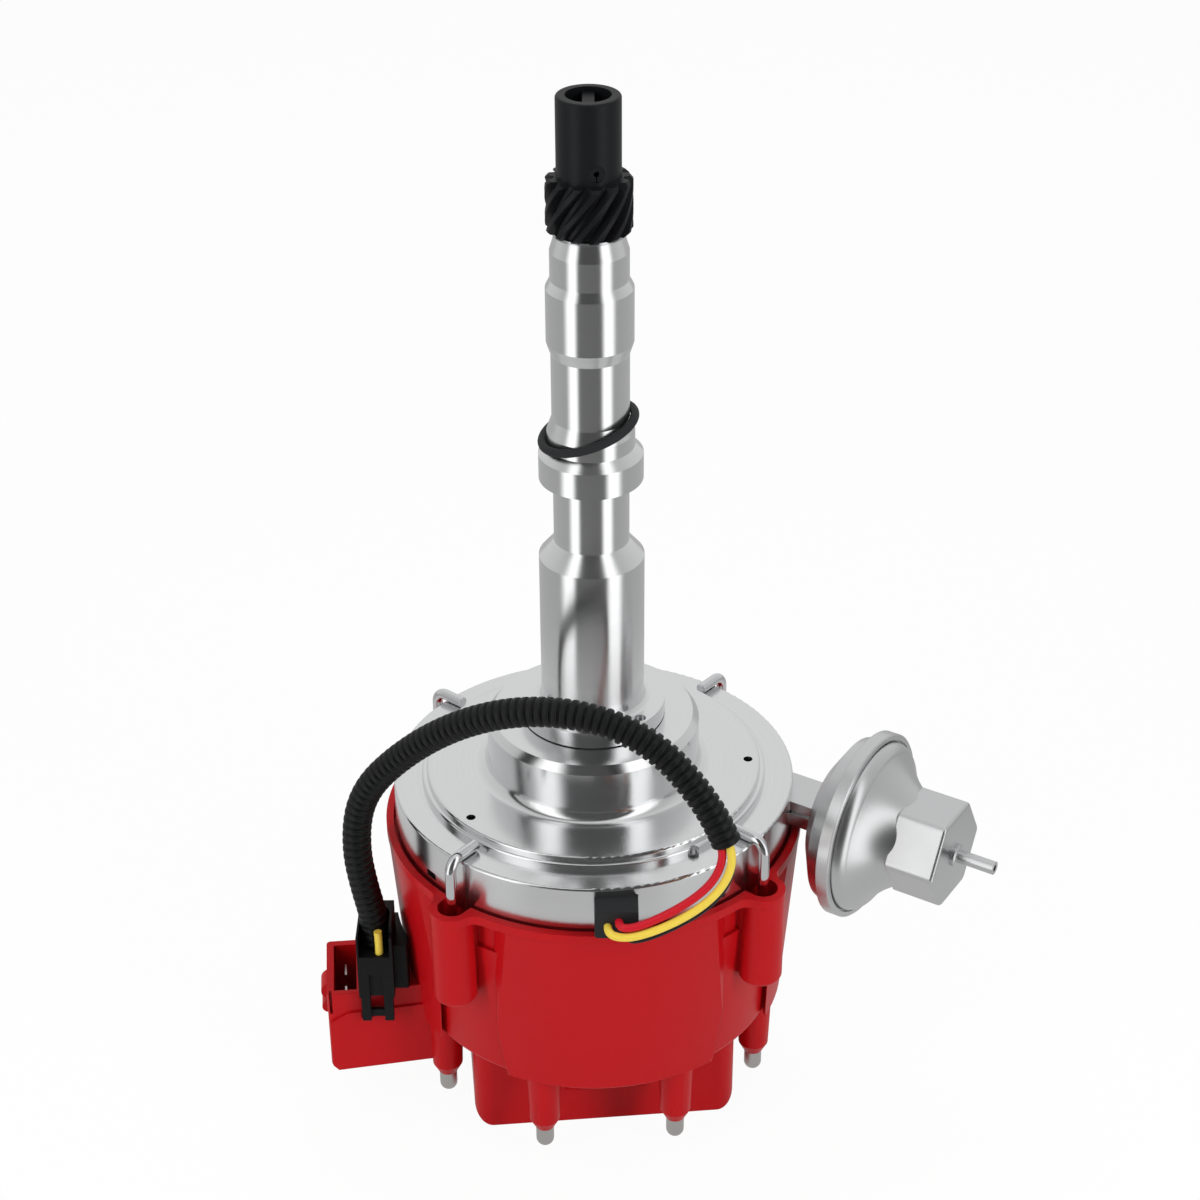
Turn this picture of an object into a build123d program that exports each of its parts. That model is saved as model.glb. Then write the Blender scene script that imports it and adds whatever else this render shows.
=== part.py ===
from build123d import *
import os
from math import acos, atan2, cos, degrees, pi, radians, sin, sqrt, tan

# Ignition distributor with eight outlets, a coil in its cap and a vacuum advance.
# It is drawn as it stands on its coil cover, with the drive gear at the top.
# +Z runs along the shaft towards the gear. z = 0 is the seat face of the hub ring,
# which meets the engine. -Y is the front and +X the right. Sizes are millimetres.

# Fits
RUN_GAP = 0.08          # radial clearance round a shaft or pivot that turns
PRESS_GAP = 0.02        # radial clearance drawn between pressed pieces
AIR_GAP = 0.3           # least air between pieces that move past each other

# Shaft, bushes and drive end
SHAFT_R = 7.12
BUSH_R = 9.5
BUSH_LENGTH = 28.0
TONGUE_THICK = 3.8
TONGUE_HEIGHT = 13.8
SHAFT_OVERHANG = 3.5
SLEEVE_R = 10.15
SLEEVE_LENGTH = 43.4
SLEEVE_BORE_R = SHAFT_R + PRESS_GAP
SLEEVE_LIP = 1.6        # how far the sleeve stands above the tongue
GEAR_TEETH = 13
GEAR_TIP_R = 13.7
GEAR_ROOT_R = 10.8
GEAR_WIDTH = 17.5
GEAR_HELIX = 36.5
GEAR_SLICES = 8
PIN_R = 2.6
PIN_BORE_R = 0.9
PIN_SLIT = 0.3
PIN_ABOVE_GEAR = 4.0
PIN_HEADING = -76.0
WASHER_THICK = 1.0
WASHER_R = 11.6

# Stem, from the hub ring up to the nose
HUB_R = 24.8
HUB_THICK = 5.8
PILOT_R = 17.6
PILOT_FOOT_R = 2.4
PILOT_LENGTH = 56.0
PILOT_CONE = 6.0
NECK_R = 12.54
NECK_LENGTH = 23.0
COLLAR_R = 17.2
COLLAR_LENGTH = 9.0
COLLAR_CONE = 3.0
LAND_R = 14.4
LAND_LENGTH = 5.0
WAIST_R = 12.68
WAIST_FLARE = 5.0
WAIST_LENGTH = 22.4
BAND_FLARE = 4.3
BAND_R = 14.1
BAND_LENGTH = 18.3
NOSE_R = 12.6
NOSE_FLARE = 3.0
NOSE_LENGTH = 9.5
NOSE_CONE = 5.3
NOSE_END_R = 11.0
STEM_RELIEF_R = 8.6
SPIGOT_R = 13.0
GASKET_THICK = 0.4
STEM_SCREW_RING_R = 22.0
STEM_SCREW_HEADING = -43.0

# Seal ring, lying slack and tilted over the stem
SEAL_RING_R = 15.8
SEAL_WIRE_R = 1.45
SEAL_TILT = 17.7
SEAL_SHIFT = -0.8
SEAL_ABOVE_COLLAR = 8.6

# Bowl
DRUM_R = 36.6
DRUM_CHAMFER = 2.1
DRUM_CHAMFER_DROP = 2.7
DRUM_HEIGHT = 20.6
DRUM_FOOT_R = 4.2
DRUM_POCKET_R = 33.0
DRUM_ROOF = 5.0
HUB_CORE_R = 18.0
PLATE_R = 58.2
PLATE_RISE = 4.2
PLATE_STEP_R = 59.9
PLATE_STEP = 2.4        # top of the lower step above the flange
PLATE_THICK = 3.7
PLATE_WALL = 3.9
FLANGE_R = 69.75
FLANGE_THICK = 4.0
FLANGE_ROUND = 0.8
BOWL_WALL = 3.55
BOWL_DEPTH = 19.6
PLATE_HOLE_R = 1.6
PLATE_HOLE_RING_R = 54.0
PLATE_HOLE_HEADINGS = (-1.0, 110.0, 220.0)
VENT_WIDTH = 5.0
VENT_HEIGHT = 2.5
VENT_DROP = 13.5        # centre of a vent below the flange
VENT_HEADINGS = (-142.0, -53.0)

# Pickup, which turns on the hub core
PIVOT_R = 15.0
PIVOT_LENGTH = 4.8
PICKUP_DROP = 6.0       # pickup below the bowl's floor
PICKUP_ARM_R = 6.0
PICKUP_PLATE_THICK = 2.0
PICKUP_PLATE_R = 27.0
PICKUP_R = 25.5
PICKUP_COIL_HEIGHT = 5.0
MAGNET_HEIGHT = 3.0
POLE_THICK = 2.5
POLE_TIP_R = 17.3
POLE_ROOT_R = 20.5
PICKUP_INNER_R = 17.9
CORE_TIP_R = 16.7
CORE_ROOT_R = 13.5
CORE_SLEEVE_R = 11.0
CORE_TOOTH_HEIGHT = 6.0
CORE_LENGTH = 13.5
OUTLETS = 8

# Centrifugal advance
BASE_THICK = 2.0
BASE_R = 38.0
BASE_WIDTH = 56.0
WEIGHT_THICK = 5.0
WEIGHT_OUTER_R = 34.0
WEIGHT_INNER_R = 16.5
WEIGHT_EYE_R = 6.0
WEIGHT_PIVOT_R = 28.0
WEIGHT_START = 35.0
WEIGHT_END = 150.0
WEIGHT_PIN_R = 2.5
CAM_LENGTH = 32.0
CAM_WIDTH = 20.0
CAM_POST_R = 1.4
CAM_POST_AT = 12.5
POST_RISE = 4.2
ADVANCE_SPRING_R = 1.8
ADVANCE_WIRE_R = 0.35
ADVANCE_TURNS = 6

# Rotor
PILLAR_R = 4.0
PILLAR_AT = 33.0
PILLAR_LENGTH = 11.0
ROTOR_LENGTH = 84.0
ROTOR_WIDTH = 40.0
ROTOR_BASE = 3.0
ROTOR_HEIGHT = 34.0
ROTOR_CORE_R = 14.0
ROTOR_CORE_TOP_R = 9.0
ROTOR_ARM_LENGTH = 50.0
ROTOR_ARM_WIDTH = 10.0
ROTOR_ARM_FOOT = 2.0     # arm's foot beyond the pillar's axis
ROTOR_ARM_TIP = 6.0
BLADE_REACH = 55.5
BLADE_WIDTH = 8.0
BLADE_THICK = 1.2
LEAF_RISE = 2.3
LEAF_R = 3.0

# Cap, drawn facing -Y and then turned as it sits in the photo
CAP_TURN = 5.3
CAP_RIM_DROP = 16.5     # rim below the flange top
CAP_RIM_R = 73.2
CAP_RIM_LIP = 3.5
CAP_RIM_BORE_R = 70.6
CAP_WALL_TOP_R = 71.6
CAP_WALL_END_R = 65.6
CAP_HEIGHT = 71.5
CAP_WALL = 3.5
CAP_CEILING = 5.0
CAP_EDGE_ROUND = 2.5
PANEL_PROUD = 2.4
PANEL_HALF_ANGLE = 29.0
PANEL_CORNER = 3.7
PANEL_CORNER_RISE = 15.0
PANEL_EDGE_SLOPE = 30.0
TOWER_RING_R = 60.5
TOWER_BASE_R = 6.2
TOWER_R = 5.4
TOWER_TIP_R = 3.4
TOWER_LENGTH = 24.6
TOWER_CHAMFER = 4.0
TERMINAL_R = 3.15
TERMINAL_SHANK_R = 2.9  # shank behind the shoulder that seats on the tower
TERMINAL_PROUD = 8.6
TERMINAL_INSIDE = 12.0
LOBE_RING_R = 74.2
LOBE_R = 7.5
LOBE_LENGTH = 37.5
LOBE_POCKET_R = 5.0
LOBE_POCKET_DEPTH = 10.5
LOBE_POCKET_OPEN = 1.0   # how far the pocket breaks into the rim's bore
LOBE_FLOW_R = 5.0
LOBE_LIP = 0.15         # rim proud of the lobe below it
LOBE_SLOT_DEPTH = 2.4
LOBE_SLOT_HEIGHT = 12.0
LOBE_WEB = 12.0
LOBE_CUP_R = 5.2

# Latches
LATCH_ROD_R = 1.9
LATCH_BEND_R = 4.5
LATCH_FOOT_RING_R = 61.6
LATCH_HEAD_R = 4.4
LATCH_HEAD_THICK = 3.5
LATCH_SLOT = 1.2
LATCH_SPRING_R = 3.4
LATCH_WIRE_R = 0.55
LATCH_TURNS = 5
LATCH_SPRING_LENGTH = 9.0

# Coil and its cover
COVER_WIDTH = 80.0
COVER_HEIGHT = 38.0
COVER_WALL = 2.5
COVER_CORNER = 7.0
COVER_EDGE = 6.0
COIL_LIFT = 2.0
CORE_FRAME_LENGTH = 72.0
CORE_FRAME_WIDTH = 60.0
CORE_FRAME_RAIL = 9.0
CORE_FRAME_THICK = 16.0
CORE_FRAME_DROP = 9.0
CORE_LEG = 14.0
WINDING_HEIGHT = 30.0
COIL_SCREW_R = 2.0
COVER_BOSS_R = 3.4
COVER_BOSS_GAP = 1.6     # between a cover boss and the iron frame
COVER_END_GAP = 2.6      # from a cover boss to the cover's end
COVER_SCREW_R = 1.6
COVER_SCREW_SINK = 3.0
COIL_SCREW_BITE = 7.0
NICHE_HALF_WIDTH = 14.5
NICHE_DEPTH = 3.0
NICHE_FOOT = 14.0
BUTTON_R = 3.2
BUTTON_LENGTH = 6.0
BUTTON_BOSS_R = 9.0
BUTTON_BOSS_HEIGHT = 3.0

# Connector block on the left of the cap
BLOCK_LEFT = -97.5
BLOCK_RIGHT = -58.0
BLOCK_FRONT = -27.5
BLOCK_BACK = 3.0
BLOCK_DROP = 55.0       # top of the block below the cap rim
BLOCK_HEIGHT = 34.0
BLOCK_WALL = 2.6
BLOCK_CORNER = 2.4
APRON_THICK = 0.8
APRON_DROP = 8.5        # apron's top below the block's top
APRON_SLANT = 7.0
NOTCH_DROP = 11.2       # notch for the plug's legs, below the block's top
BARB_PROUD = 2.3
BARB_LENGTH = 8.0
BARBS = ((6.0, 3.8), (13.0, 2.5))    # drop below the block's top, and radius
CORNER_SLIT = 0.9
POCKET_WIDTH = 8.0
POCKET_DEPTH = 26.0
BLADE_TAB_WIDTH = 6.3
BLADE_TAB_THICK = 0.8
BLADE_TAB_HEIGHT = 20.0

# Harness plug
PLUG_LEFT = -82.9
PLUG_RIGHT = -70.4
PLUG_FRONT = -37.8
PLUG_BACK = -21.0
PLUG_HEIGHT = 18.0      # up to the floor of the channel that holds the conduit
PLUG_CHANNEL = 8.4
PLUG_CHEEK = 12.2
PLUG_BASE_LEFT = -83.0
PLUG_BASE_RIGHT = -65.6
PLUG_BASE_FRONT = -32.4
PLUG_BASE_BACK = -13.5
PLUG_BASE_HEIGHT = 19.0
PLUG_LEG_WIDTH = 3.2
PLUG_LEG_THICK = 2.6
PLUG_LEG_DROP = 10.3
PLUG_LEG_INSET = 0.65
PLUG_BAR_HEIGHT = 3.0
PLUG_NOSE_INSET = 7.4
PLUG_NOSE_DEPTH = 14.0
CHANNEL_GAP = 0.35

# Harness
CONDUIT_R = 5.0
WIRE_R = 1.4
CONDUIT_ROUTE = [
    (-76.8, -28.6, -84.4), (-76.8, -28.7, -74.0), (-79.6, -28.4, -60.5), (-81.7, -27.4, -46.0),
    (-80.6, -25.6, -31.0), (-75.6, -26.0, -19.0), (-66.0, -29.0, -7.0), (-54.0, -33.6, 5.0),
    (-40.0, -39.6, 15.6), (-24.0, -46.0, 23.4), (-7.0, -51.6, 26.2), (9.0, -56.4, 24.0),
    (22.5, -61.6, 17.6), (33.0, -67.6, 7.4), (40.0, -72.0, -2.6), (43.0, -74.0, -9.6),
]
CONDUIT_MOUTH_R = 3.9
CONDUIT_MOUTH_DEPTH = 6.0
YELLOW_ROUTE = [
    (42.2, -74.2, -4.9), (44.4, -75.6, -10.5), (44.4, -77.6, -16.4), (41.6, -79.4, -22.4),
    (36.4, -81.2, -27.8), (29.0, -82.8, -32.6), (20.6, -83.6, -36.8), (12.6, -83.6, -39.8),
    (7.2, -82.6, -40.4), (4.6, -81.0, -39.6), (4.6, -78.0, -39.6),
]
RED_ROUTE = [
    (39.7, -73.2, -6.2), (41.6, -74.6, -11.0), (41.2, -76.4, -16.0), (38.6, -78.2, -21.2),
    (33.8, -79.8, -25.8), (27.0, -81.2, -30.2), (19.6, -81.9, -34.2), (13.0, -82.0, -37.2),
    (8.2, -81.4, -37.6), (8.2, -78.0, -37.6),
]
BLACK_ROUTE = [
    (42.0, -71.3, -5.7), (44.4, -72.6, -12.2), (44.8, -74.7, -18.8), (42.2, -77.0, -25.0),
    (37.0, -79.2, -30.4), (29.6, -80.8, -35.2), (21.2, -81.7, -39.4), (14.6, -82.0, -41.8),
    (11.4, -81.4, -42.2), (11.4, -78.0, -42.2),
]
YELLOW_TAIL = (-75.2, -35.2, 9.4)    # bare stretch beside the conduit's end: x, y and length

# Grommet where the wires enter the bowl
GROMMET_X = 7.4
GROMMET_WIDTH = 14.4
GROMMET_TOP = -34.0
GROMMET_HEIGHT = 10.4
GROMMET_FRONT = -78.0
GROMMET_BACK = -62.0

# Vacuum canister. Its rod pulls the pickup at ARM_R, along the canister's axis.
ARM_R = 31.7
CANISTER_HEADING = -32.2
CANISTER_DROP = 9.0     # axis below the flange top
SEAM_AT = 90.3          # crimped seam from the pull point
CANISTER_R = 33.0
CRIMP_SEAT_R = 32.2
CRIMP_NECK_R = 31.0
REAR_SHOULDER_R = 29.0
REAR_FACE_R = 20.0
REAR_BORE_R = 6.8
FRONT_NECK_R = 16.0
FRONT_WALL = 3.0
NOSE_HOLLOW_R = 6.0
SHELL_THICK = 1.5
REAR_DEPTH = 12.3
FRONT_DEPTH = 19.0
NOSE_FLATS = 32.5
NOSE_AT = 17.0
CANISTER_NOSE_END = 34.5
NIPPLE_R = 2.3
NIPPLE_BORE_R = 1.2
NIPPLE_LENGTH = 14.5
NIPPLE_BOSS_R = 4.0
NIPPLE_BOSS_LENGTH = 1.4
DIAPHRAGM_THICK = 0.8
CUP_R = 16.0
CUP_DEPTH = 4.0
ROD_WIDTH = 8.0
ROD_THICK = 2.4
ROD_EYE_R = 5.0
ARM_PIN_R = 2.0
BRACKET_HALF_WIDTH = 8.0
BRACKET_HALF_HEIGHT = 4.9
BRACKET_SHEET = 1.4
BRACKET_GROOVE = 0.7
BRACKET_TAB = 15.0
SADDLE_THICK = 2.0
SADDLE_EAR = 10.0
SADDLE_TOP = 4.5
SADDLE_HEIGHT = 14.0
VACUUM_SPRING_R = 9.0
VACUUM_WIRE_R = 0.8
VACUUM_TURNS = 5

# Electronics on the bowl's floor
MODULE_INNER_R = 37.5
MODULE_OUTER_R = 54.0
MODULE_START = -135.0
MODULE_END = -62.0
MODULE_THICK = 10.0
MODULE_SINK = 4.0       # screw seats above the module's underside
CAPACITOR_R = 7.0
CAPACITOR_LENGTH = 24.0
CAPACITOR_RING_R = 47.0
CAPACITOR_HEADING = 150.0
SMALL_SCREW_R = 1.9
SMALL_SCREW_HEAD_R = 3.6
SMALL_SCREW_HEAD = 2.4
BRACKET_SCREW_BITE = 2.8
MODULE_SCREW_BITE = 3.4

# Heights along the stem
pilot_top = PILOT_LENGTH
neck_bottom = pilot_top + PILOT_CONE
collar_bottom = neck_bottom + NECK_LENGTH
collar_top = collar_bottom + COLLAR_LENGTH
land_bottom = collar_top + COLLAR_CONE
land_top = land_bottom + LAND_LENGTH
waist_bottom = land_top + WAIST_FLARE
waist_top = waist_bottom + WAIST_LENGTH
band_bottom = waist_top + BAND_FLARE
band_top = band_bottom + BAND_LENGTH
nose_bottom = band_top + NOSE_FLARE
nose_top = nose_bottom + NOSE_LENGTH
stem_top = nose_top + NOSE_CONE
washer_bottom = stem_top + 0.2
gear_bottom = washer_bottom + WASHER_THICK
gear_top = gear_bottom + GEAR_WIDTH
pin_height = gear_top + PIN_ABOVE_GEAR
sleeve_top = gear_bottom + SLEEVE_LENGTH
tongue_top = sleeve_top - SLEEVE_LIP

# Heights through the bowl
drum_top = -HUB_THICK - GASKET_THICK
plate_top = drum_top - DRUM_HEIGHT
flange_top = plate_top - PLATE_RISE
floor_in = plate_top - PLATE_THICK
bowl_in_r = FLANGE_R - BOWL_WALL
bowl_end = flange_top - BOWL_DEPTH
pickup_top = floor_in - PICKUP_DROP
pivot_end = pickup_top - PIVOT_LENGTH
plate_under = pickup_top - PICKUP_PLATE_THICK - AIR_GAP
coil_under = plate_under - PICKUP_COIL_HEIGHT
magnet_under = coil_under - MAGNET_HEIGHT
pole_under = magnet_under - POLE_THICK
core_top = pivot_end - 0.5
base_top = core_top - CORE_LENGTH
base_under = base_top - BASE_THICK
weight_top = base_under - AIR_GAP
weight_under = weight_top - WEIGHT_THICK
rotor_top = base_under - PILLAR_LENGTH
rotor_floor = rotor_top - ROTOR_BASE
blade_top = rotor_floor - ROTOR_HEIGHT
blade_under = blade_top - BLADE_THICK
leaf_end = blade_under - LEAF_RISE

# Heights through the cap
cap_rim = flange_top - CAP_RIM_DROP
cap_end = cap_rim - CAP_HEIGHT
ceiling_in = cap_end + CAP_CEILING
tower_end = cap_end - TOWER_LENGTH
terminal_end = tower_end - TERMINAL_PROUD
terminal_top = ceiling_in + TERMINAL_INSIDE
lobe_end = cap_rim - LOBE_LENGTH
pocket_floor = cap_rim - LOBE_POCKET_DEPTH
web_under = pocket_floor - LOBE_WEB
cover_end = cap_end - COVER_HEIGHT
button_tip = leaf_end - AIR_GAP
button_end = button_tip - BUTTON_LENGTH
coil_top = cap_end - COIL_LIFT
frame_top = cap_end - CORE_FRAME_DROP
frame_under = frame_top - CORE_FRAME_THICK
cover_screw_at = CORE_FRAME_LENGTH / 2 + COVER_BOSS_GAP + COVER_BOSS_R
cover_length = 2 * (cover_screw_at + COVER_BOSS_R + COVER_END_GAP)
block_top = cap_rim - BLOCK_DROP
plug_seat = block_top + 0.1
plug_floor = plug_seat + PLUG_HEIGHT
module_middle_r = (MODULE_INNER_R + MODULE_OUTER_R) / 2

# Frame of the canister: local X leads away from the shaft, local Y is up, local Z the pull
canister_z = flange_top - CANISTER_DROP
pull_x = cos(radians(CANISTER_HEADING))
pull_y = sin(radians(CANISTER_HEADING))
arm_x = -pull_y
arm_y = pull_x
canister_frame = Plane(
    origin=(ARM_R * arm_x, ARM_R * arm_y, canister_z),
    x_dir=(arm_x, arm_y, 0),
    z_dir=(pull_x, pull_y, 0),
).location
arm_heading = degrees(atan2(arm_y, arm_x))

# The rotor points at an outlet while the part rests
outlet_step = 360 / OUTLETS
outlet_headings = [-90 + outlet_step * (step + 0.5) for step in range(OUTLETS)]
rotor_heading = CAP_TURN - 90 + outlet_step * 1.5
latch_headings = [-45 + 90 * step for step in range(4)]


def turned(outline):
    """Solid of revolution about Z, from corners given as radius and height."""
    return revolve(make_face(Polyline(*[(r, 0, z) for r, z in outline], close=True)), Axis.Z)


def rod(radius, bottom, top):
    """Round bar on the Z axis between two heights."""
    return Pos(0, 0, (bottom + top) / 2) * Cylinder(radius, top - bottom)


def ring(outer_r, inner_r, bottom, top):
    """Plain ring on the Z axis between two heights."""
    return rod(outer_r, bottom, top) - rod(inner_r, bottom, top)


def block(x_low, x_high, y_low, y_high, z_low, z_high):
    """Rectangular block between pairs of limits."""
    centre = Pos((x_low + x_high) / 2, (y_low + y_high) / 2, (z_low + z_high) / 2)
    return centre * Box(x_high - x_low, y_high - y_low, z_high - z_low)


def at_heading(heading, radius):
    """Place on a ring round the shaft, with local X leading outwards."""
    return Rot(0, 0, heading) * Pos(radius, 0, 0)


def round_rim(part, radius, height, size):
    """Round the circular edge that has this radius and height."""
    rims = [
        edge for edge in part.edges().filter_by(GeomType.CIRCLE)
        if abs(edge.radius - radius) < 0.01 and abs(edge.arc_center.Z - height) < 0.01
    ]
    return fillet(rims, size)


def sector(outer_r, inner_r, start, end, bottom, top):
    """Part of a ring between two headings."""
    outline = make_face(Polyline(
        (inner_r, 0, bottom), (outer_r, 0, bottom), (outer_r, 0, top), (inner_r, 0, top), close=True,
    ))
    return Rot(0, 0, start) * revolve(outline, Axis.Z, end - start)


def toothed(count, tip_r, root_r, tip_share, root_share, bottom, top):
    """Disc with straight-sided teeth that point outwards."""
    corners = []
    for tooth in range(count):
        for share, radius in (
            (-root_share, root_r), (-tip_share, tip_r), (tip_share, tip_r), (root_share, root_r),
        ):
            angle = 2 * pi * (tooth + share) / count
            corners.append((radius * cos(angle), radius * sin(angle), bottom))
    return extrude(make_face(Polyline(*corners, close=True)), top - bottom, dir=(0, 0, 1))


def coil_spring(radius, wire_r, length, turns):
    """Helical spring standing on z = 0."""
    path = Helix(pitch=(length - 2 * wire_r) / turns, height=length - 2 * wire_r, radius=radius)
    section = Plane(origin=path @ 0, z_dir=path % 0) * RegularPolygon(wire_r, 6)
    return Pos(0, 0, wire_r) * sweep(section, path=path, is_frenet=True)


def screw(shank_r, head_r, head_height, length):
    """Pan-head screw with its head on z = 0 and its shank along -Z."""
    head = round_rim(rod(head_r, 0, head_height), head_r, head_height, head_height * 0.45)
    slot = block(-head_r, head_r, -0.5, 0.5, head_height * 0.55, head_height + 1)
    return head - slot + rod(shank_r, -length, 0)


def corner_radii(route):
    """Largest arc for each corner of a route, from its shorter run and its turn."""
    points = [Vector(*point) for point in route]
    radii = []
    for before, corner, after in zip(points, points[1:], points[2:]):
        turn = (corner - before).get_angle(after - corner)
        shorter = min((corner - before).length, (after - corner).length)
        radii.append(0.45 * shorter / tan(radians(turn) / 2))
    return radii


def tube_along(route, radius, name):
    """Round tube of straight runs joined by tangent arcs."""
    radii = corner_radii(route)
    path = FilletPolyline(*route, radius=radii)
    print(name, "length", round(path.length, 1), "radii", [round(size, 1) for size in radii])
    start = Plane(origin=path @ 0, z_dir=path % 0)
    tube = sweep(start * Circle(radius), path=path)
    print(name, "volume ratio", round(tube.volume / (pi * radius ** 2 * path.length), 4))
    return tube


# Housing

def make_stem():
    """Stem: hub ring, pilot, necked waist and nose, bored for two bushes."""
    foot = -HUB_THICK
    spigot_end = pivot_end
    outline = make_face(Polyline(
        (STEM_RELIEF_R, 0, spigot_end), (SPIGOT_R, 0, spigot_end), (SPIGOT_R, 0, foot),
        (HUB_R, 0, foot), (HUB_R, 0, 0), (PILOT_R, 0, 0), (PILOT_R, 0, pilot_top),
        (NECK_R, 0, neck_bottom), (NECK_R, 0, collar_bottom), (COLLAR_R, 0, collar_bottom),
        (COLLAR_R, 0, collar_top), (LAND_R, 0, land_bottom), (LAND_R, 0, land_top),
        (WAIST_R, 0, waist_bottom), (WAIST_R, 0, waist_top), (BAND_R, 0, band_bottom),
        (BAND_R, 0, band_top), (NOSE_R, 0, nose_bottom), (NOSE_R, 0, nose_top),
        (NOSE_END_R, 0, stem_top), (STEM_RELIEF_R, 0, stem_top), close=True,
    ))
    stem = round_rim(revolve(outline, Axis.Z), PILOT_R, 0, PILOT_FOOT_R)
    seat_r = BUSH_R + PRESS_GAP
    stem -= rod(seat_r, stem_top - BUSH_LENGTH, stem_top + 1)
    stem -= rod(seat_r, spigot_end - 1, spigot_end + BUSH_LENGTH)
    for step in range(3):
        place = at_heading(STEM_SCREW_HEADING + 120 * step, STEM_SCREW_RING_R)
        stem -= place * rod(SMALL_SCREW_R + PRESS_GAP, foot - 1, 1)
    return stem


def make_bowl():
    """Bowl: drum, stepped top plate, flange and wall, open towards the cap."""
    bore_r = SPIGOT_R + PRESS_GAP
    pocket_top = drum_top - DRUM_ROOF
    plate_in_r = PLATE_STEP_R - PLATE_WALL
    step_top = flange_top + PLATE_STEP
    flange_in = flange_top - FLANGE_THICK
    bowl = turned([
        (bore_r, drum_top), (DRUM_R - DRUM_CHAMFER, drum_top),
        (DRUM_R, drum_top - DRUM_CHAMFER_DROP), (DRUM_R, plate_top), (PLATE_R, plate_top),
        (PLATE_R, step_top), (PLATE_STEP_R, step_top), (PLATE_STEP_R, flange_top),
        (FLANGE_R, flange_top), (FLANGE_R, bowl_end),
        (bowl_in_r, bowl_end), (bowl_in_r, flange_in), (plate_in_r, flange_in),
        (plate_in_r, floor_in), (DRUM_POCKET_R, floor_in), (DRUM_POCKET_R, pocket_top),
        (HUB_CORE_R, pocket_top), (HUB_CORE_R, pickup_top + AIR_GAP),
        (PIVOT_R, pickup_top + AIR_GAP), (PIVOT_R, pivot_end), (bore_r, pivot_end),
    ])
    bowl = round_rim(bowl, DRUM_R, plate_top, DRUM_FOOT_R)
    bowl = round_rim(bowl, PLATE_R, plate_top, FLANGE_ROUND)
    bowl = round_rim(bowl, PLATE_STEP_R, step_top, FLANGE_ROUND)
    bowl = round_rim(bowl, FLANGE_R, flange_top, FLANGE_ROUND)
    for heading in PLATE_HOLE_HEADINGS:
        place = at_heading(heading, PLATE_HOLE_RING_R)
        bowl -= place * rod(PLATE_HOLE_R, floor_in - 1, plate_top + 1)
    for step in range(3):
        place = at_heading(STEM_SCREW_HEADING + 120 * step, STEM_SCREW_RING_R)
        bowl -= place * rod(SMALL_SCREW_R + PRESS_GAP, pocket_top - 1, drum_top + 1)
    for heading in module_screw_headings():
        place = at_heading(heading, module_middle_r)
        bowl -= place * rod(SMALL_SCREW_R + PRESS_GAP, floor_in - 1, floor_in + MODULE_SCREW_BITE)
    for side in (-1, 1):
        drill = rod(SMALL_SCREW_R + PRESS_GAP, -SADDLE_THICK - BRACKET_SCREW_BITE, 0)
        bowl -= bracket_screw_place(side) * drill
    vent_z = flange_top - VENT_DROP
    for heading in VENT_HEADINGS:
        place = at_heading(heading, FLANGE_R)
        bowl -= place * block(
            -BOWL_WALL - 2, 2, -VENT_WIDTH / 2, VENT_WIDTH / 2,
            vent_z - VENT_HEIGHT / 2, vent_z + VENT_HEIGHT / 2,
        )
    bowl -= grommet_body(PRESS_GAP)
    return bowl - canister_frame * bracket_arm(PRESS_GAP)


def grommet_body(grow):
    """Grommet block, or the notch that takes it when grown by a clearance."""
    half = GROMMET_WIDTH / 2 + grow
    return block(
        GROMMET_X - half, GROMMET_X + half, GROMMET_FRONT, GROMMET_BACK,
        GROMMET_TOP - GROMMET_HEIGHT - grow, GROMMET_TOP + grow,
    )


def make_hub_gasket():
    """Thin seal between the hub ring and the bowl."""
    gasket = ring(HUB_R - AIR_GAP, SPIGOT_R + 0.2, drum_top, -HUB_THICK)
    for step in range(3):
        place = at_heading(STEM_SCREW_HEADING + 120 * step, STEM_SCREW_RING_R)
        gasket -= place * rod(SMALL_SCREW_R + PRESS_GAP, drum_top - 1, 0)
    return gasket


def make_grommet():
    """Rubber grommet with a groove for the bowl's wall."""
    body = grommet_body(0)
    return fillet(body.edges().filter_by(Axis.Y), 1.2)


def make_stem_screws():
    """Three screws that pull the stem's hub ring onto the bowl."""
    head_plane = drum_top - DRUM_ROOF
    one = Pos(0, 0, head_plane) * Rot(180, 0, 0) * screw(
        SMALL_SCREW_R, SMALL_SCREW_HEAD_R, SMALL_SCREW_HEAD,
        DRUM_ROOF + GASKET_THICK + HUB_THICK - 1.5,
    )
    return [
        at_heading(STEM_SCREW_HEADING + 120 * step, STEM_SCREW_RING_R) * one for step in range(3)
    ]


def make_seal_ring():
    """Slack rubber ring, low on the collar at the left and high at the right."""
    height = collar_top + SEAL_ABOVE_COLLAR
    return Pos(SEAL_SHIFT, 0, height) * Rot(0, -SEAL_TILT, 0) * Torus(SEAL_RING_R, SEAL_WIRE_R)


# Shaft

def make_shaft():
    """Shaft with a flat drive tongue at the gear end."""
    body_top = tongue_top - TONGUE_HEIGHT
    shaft = rod(SHAFT_R, weight_under - SHAFT_OVERHANG, tongue_top)
    for side in (-1, 1):
        far = side * 2 * SHAFT_R
        near = side * TONGUE_THICK / 2
        shaft -= block(min(near, far), max(near, far), -SHAFT_R, SHAFT_R, body_top, tongue_top + 1)
    return shaft - roll_pin_bore()


def roll_pin_bore():
    """Cross hole for the roll pin, through the sleeve and the shaft."""
    bar = Rot(0, 0, PIN_HEADING) * Pos(0, 0, pin_height) * Rot(0, 90, 0)
    return bar * Cylinder(PIN_R + PRESS_GAP, 4 * SLEEVE_R)


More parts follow.
